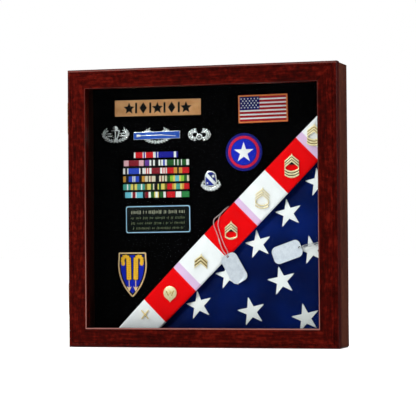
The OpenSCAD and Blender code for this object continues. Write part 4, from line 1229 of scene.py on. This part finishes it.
# %% Routes
# Each point is x, how far it stands before the flag's flat front, and z, in mm
LEFT_ROUTE = [
    (21.2, 2.8, 177), (17.7, 2.6, 187), (12.8, 2.7, 199.4), (12.4, 0.5, 208.6), (17.8, -4, 214.7),
    (24.8, -9, 221.6), (30.2, -13, 226.8), (33.8, -11, 229.8), (32.2, -6, 227.4), (27.8, -1, 222.8),
    (22.8, 2.7, 214.2), (20.6, 2.6, 206), (19.9, 2.5, 199), (22.8, 2.5, 188), (26.6, 2.5, 176),
    (31.4, 2.5, 165), (35.4, 2.5, 157), (36.6, 2.45, 152), (36.4, 2.5, 149.2), (36.3, 4.4, 148.4),
    (35.2, 6.1, 149.8), (33, 6, 152.4), (30, 4.4, 155.6), (26.6, 3, 160.5), (23.4, 2.8, 169)]
RIGHT_ROUTE = [
    (195, 1.5, 166.8), (201, 1.3, 168), (204.5, 1.3, 170), (201, 1.3, 171.6), (190, 1.3, 170),
    (176, 1.4, 167.6), (166, 1.8, 165.8), (160, 2.4, 163.6), (157.8, 2.5, 162.2), (157, 4.4, 162),
    (159, 6.1, 162.2), (162.6, 6, 162.6), (167, 4, 163), (173, 2, 163.6), (180, 1.5, 164.6), (190, 1.5, 166)]
BALL_R, BALL_PITCH, WIRE_R, CLASP_R = 0.95, 2.5, 0.3, 1.2
print("points on the routes:", len(LEFT_ROUTE), "and", len(RIGHT_ROUTE))


# %% A smooth curve through a route
def smooth_path(route, steps=8):
    """A smooth curve through the route's points, in mm, with y measured before the flag."""
    spots = [Vector((x, FLAG_Y - before, z)) for x, before, z in route]
    curve = []
    for i in range(len(spots) - 1):
        a, b, c, d = (spots[max(i - 1, 0)], spots[i], spots[i + 1], spots[min(i + 2, len(spots) - 1)])
        for k in range(steps):
            t = k / steps
            curve.append(0.5 * (2 * b + (c - a) * t + (2 * a - 5 * b + 4 * c - d) * t * t
                                + (3 * b - a - 3 * c + d) * t ** 3))
    return curve + [spots[-1]]


print("the left curve has", len(smooth_path(LEFT_ROUTE)), "points")


# %% Balls, wire and clasp
def ball_chain(name, route, node_name):
    curve = smooth_path(route)
    bm = bmesh.new()
    gone, due = 0.0, 0.0
    for a, b in zip(curve, curve[1:]):
        span = (b - a).length
        while due <= gone + span:
            at = a.lerp(b, (due - gone) / span) * MM
            bmesh.ops.create_uvsphere(bm, u_segments=8, v_segments=6, radius=BALL_R * MM,
                                      matrix=Matrix.Translation(at))
            due += BALL_PITCH
        gone += span
    pairs = list(zip(curve[::3], curve[3::3])) + [(curve[-1], curve[0])]
    for number, (a, b) in enumerate(pairs):
        clasp = number == len(pairs) - 1
        turn = (b - a).to_track_quat("Z", "Y").to_matrix().to_4x4()
        thick = (CLASP_R if clasp else WIRE_R) * MM
        bmesh.ops.create_cone(bm, cap_ends=True, segments=12 if clasp else 6, depth=(b - a).length * MM,
                              radius1=thick, radius2=thick,
                              matrix=Matrix.Translation((a + b) / 2 * MM) @ turn)
    hand_over(bm, name, [nickel], [node_name])
    print(name, "is", round(gone), "mm round")


ball_chain("left_ball_chain", LEFT_ROUTE, "left_tag_chain")
ball_chain("right_ball_chain", RIGHT_ROUTE, "right_tag_chain")

# %% [markdown]
# ## Floor, world and lamps
# A white floor meets a white world, so no horizon shows. The world looks white to the camera only:
# what the pieces mirror is bright in front and overhead, so that struck metal has something to show,
# and dark behind the case, so that no glare washes out its right side. A large key lamp stands high
# on the left. A weaker one behind on the right lights the side of the box but not its inner walls,
# and one above picks out the top edge.

# %% World
scene = bpy.context.scene
scene.view_settings.view_transform = "Standard"
world = bpy.data.worlds.new("studio")
scene.world = world
world.use_nodes = True
tree = world.node_tree
tree.nodes.clear()
direction = node(tree, "TexCoord").outputs["Generated"]
sides = node(tree, "SeparateXYZ", {"Vector": direction})
overhead = node(tree, "MapRange", {"Value": sides.outputs["Z"], 1: -0.3, 2: 0.8, 3: 0.75, 4: 1.3}).outputs[0]
behind = node(tree, "MapRange", {"Value": sides.outputs["Y"], 1: 0.1, 2: 0.9, 3: 1.0, 4: 0.04}).outputs[0]
mirrored = node(tree, "Math", {0: overhead, 1: behind}, operation="MULTIPLY").outputs[0]
seen = node(tree, "LightPath")
even = node(tree, "Mix", {0: seen.outputs["Is Glossy Ray"], 2: 0.3, 3: mirrored}).outputs[0]
shown = node(tree, "Mix", {0: seen.outputs["Is Camera Ray"], 2: even, 3: 1.0}).outputs[0]
glow = node(tree, "Background", {"Color": linear("#ffffff"), "Strength": shown})
node(tree, "OutputWorld", {"Surface": glow.outputs[0]})
print("world made of", len(tree.nodes), "nodes")

# %% Floor
floor_white, tree, skin = start_material("studio_floor", Roughness=0.9, Specular_IOR_Level=0.1)
place = node(tree, "TexCoord").outputs["Object"]
paper = node(tree, "TexNoise", {"Vector": place, "Scale": 8.0}).outputs["Fac"]
tree.links.new(ramp(tree, paper, [(0.0, "#f4f4f4"), (1.0, "#f7f7f7")]), skin.inputs["Base Color"])
skin.inputs["Emission Color"].default_value = linear("#ffffff")
skin.inputs["Emission Strength"].default_value = 0.8
bm = bmesh.new()
bmesh.ops.create_grid(bm, x_segments=1, y_segments=1, size=40)
mesh = bpy.data.meshes.new("floor")
bm.to_mesh(mesh)
bm.free()
mesh.materials.append(floor_white)
floor = bpy.data.objects.new("floor", mesh)
scene.collection.objects.link(floor)
floor.visible_glossy = False
floor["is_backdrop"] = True
print("floor laid, 80 m square")


# %% Lamps
def soft_lamp(name, at, aim, size, power, tint="#ffffff"):
    data = bpy.data.lights.new(name, "AREA")
    data.shape = "DISK"
    data.size = size
    data.energy = power
    data.color = linear(tint)[:3]
    lamp = bpy.data.objects.new(name, data)
    lamp.location = at
    lamp.rotation_euler = (Vector(aim) - Vector(at)).to_track_quat("-Z", "Y").to_euler()
    scene.collection.objects.link(lamp)
    return lamp


MIDDLE = (cad_low + cad_high) / 2
soft_lamp("key", (-1.5, -1.9, 2.0), MIDDLE, 0.7, 58)
soft_lamp("side", (2.4, 0.5, 1.0), MIDDLE, 1.0, 9)
soft_lamp("top", (0.1, -0.4, 2.0), MIDDLE, 0.9, 12)
soft_lamp("rear", (-0.6, 2.4, 1.6), MIDDLE, 1.2, 16)

# %% Sizes and finish
low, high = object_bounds()
print("visual size in mm:", [round(v / MM, 1) for v in high - low])
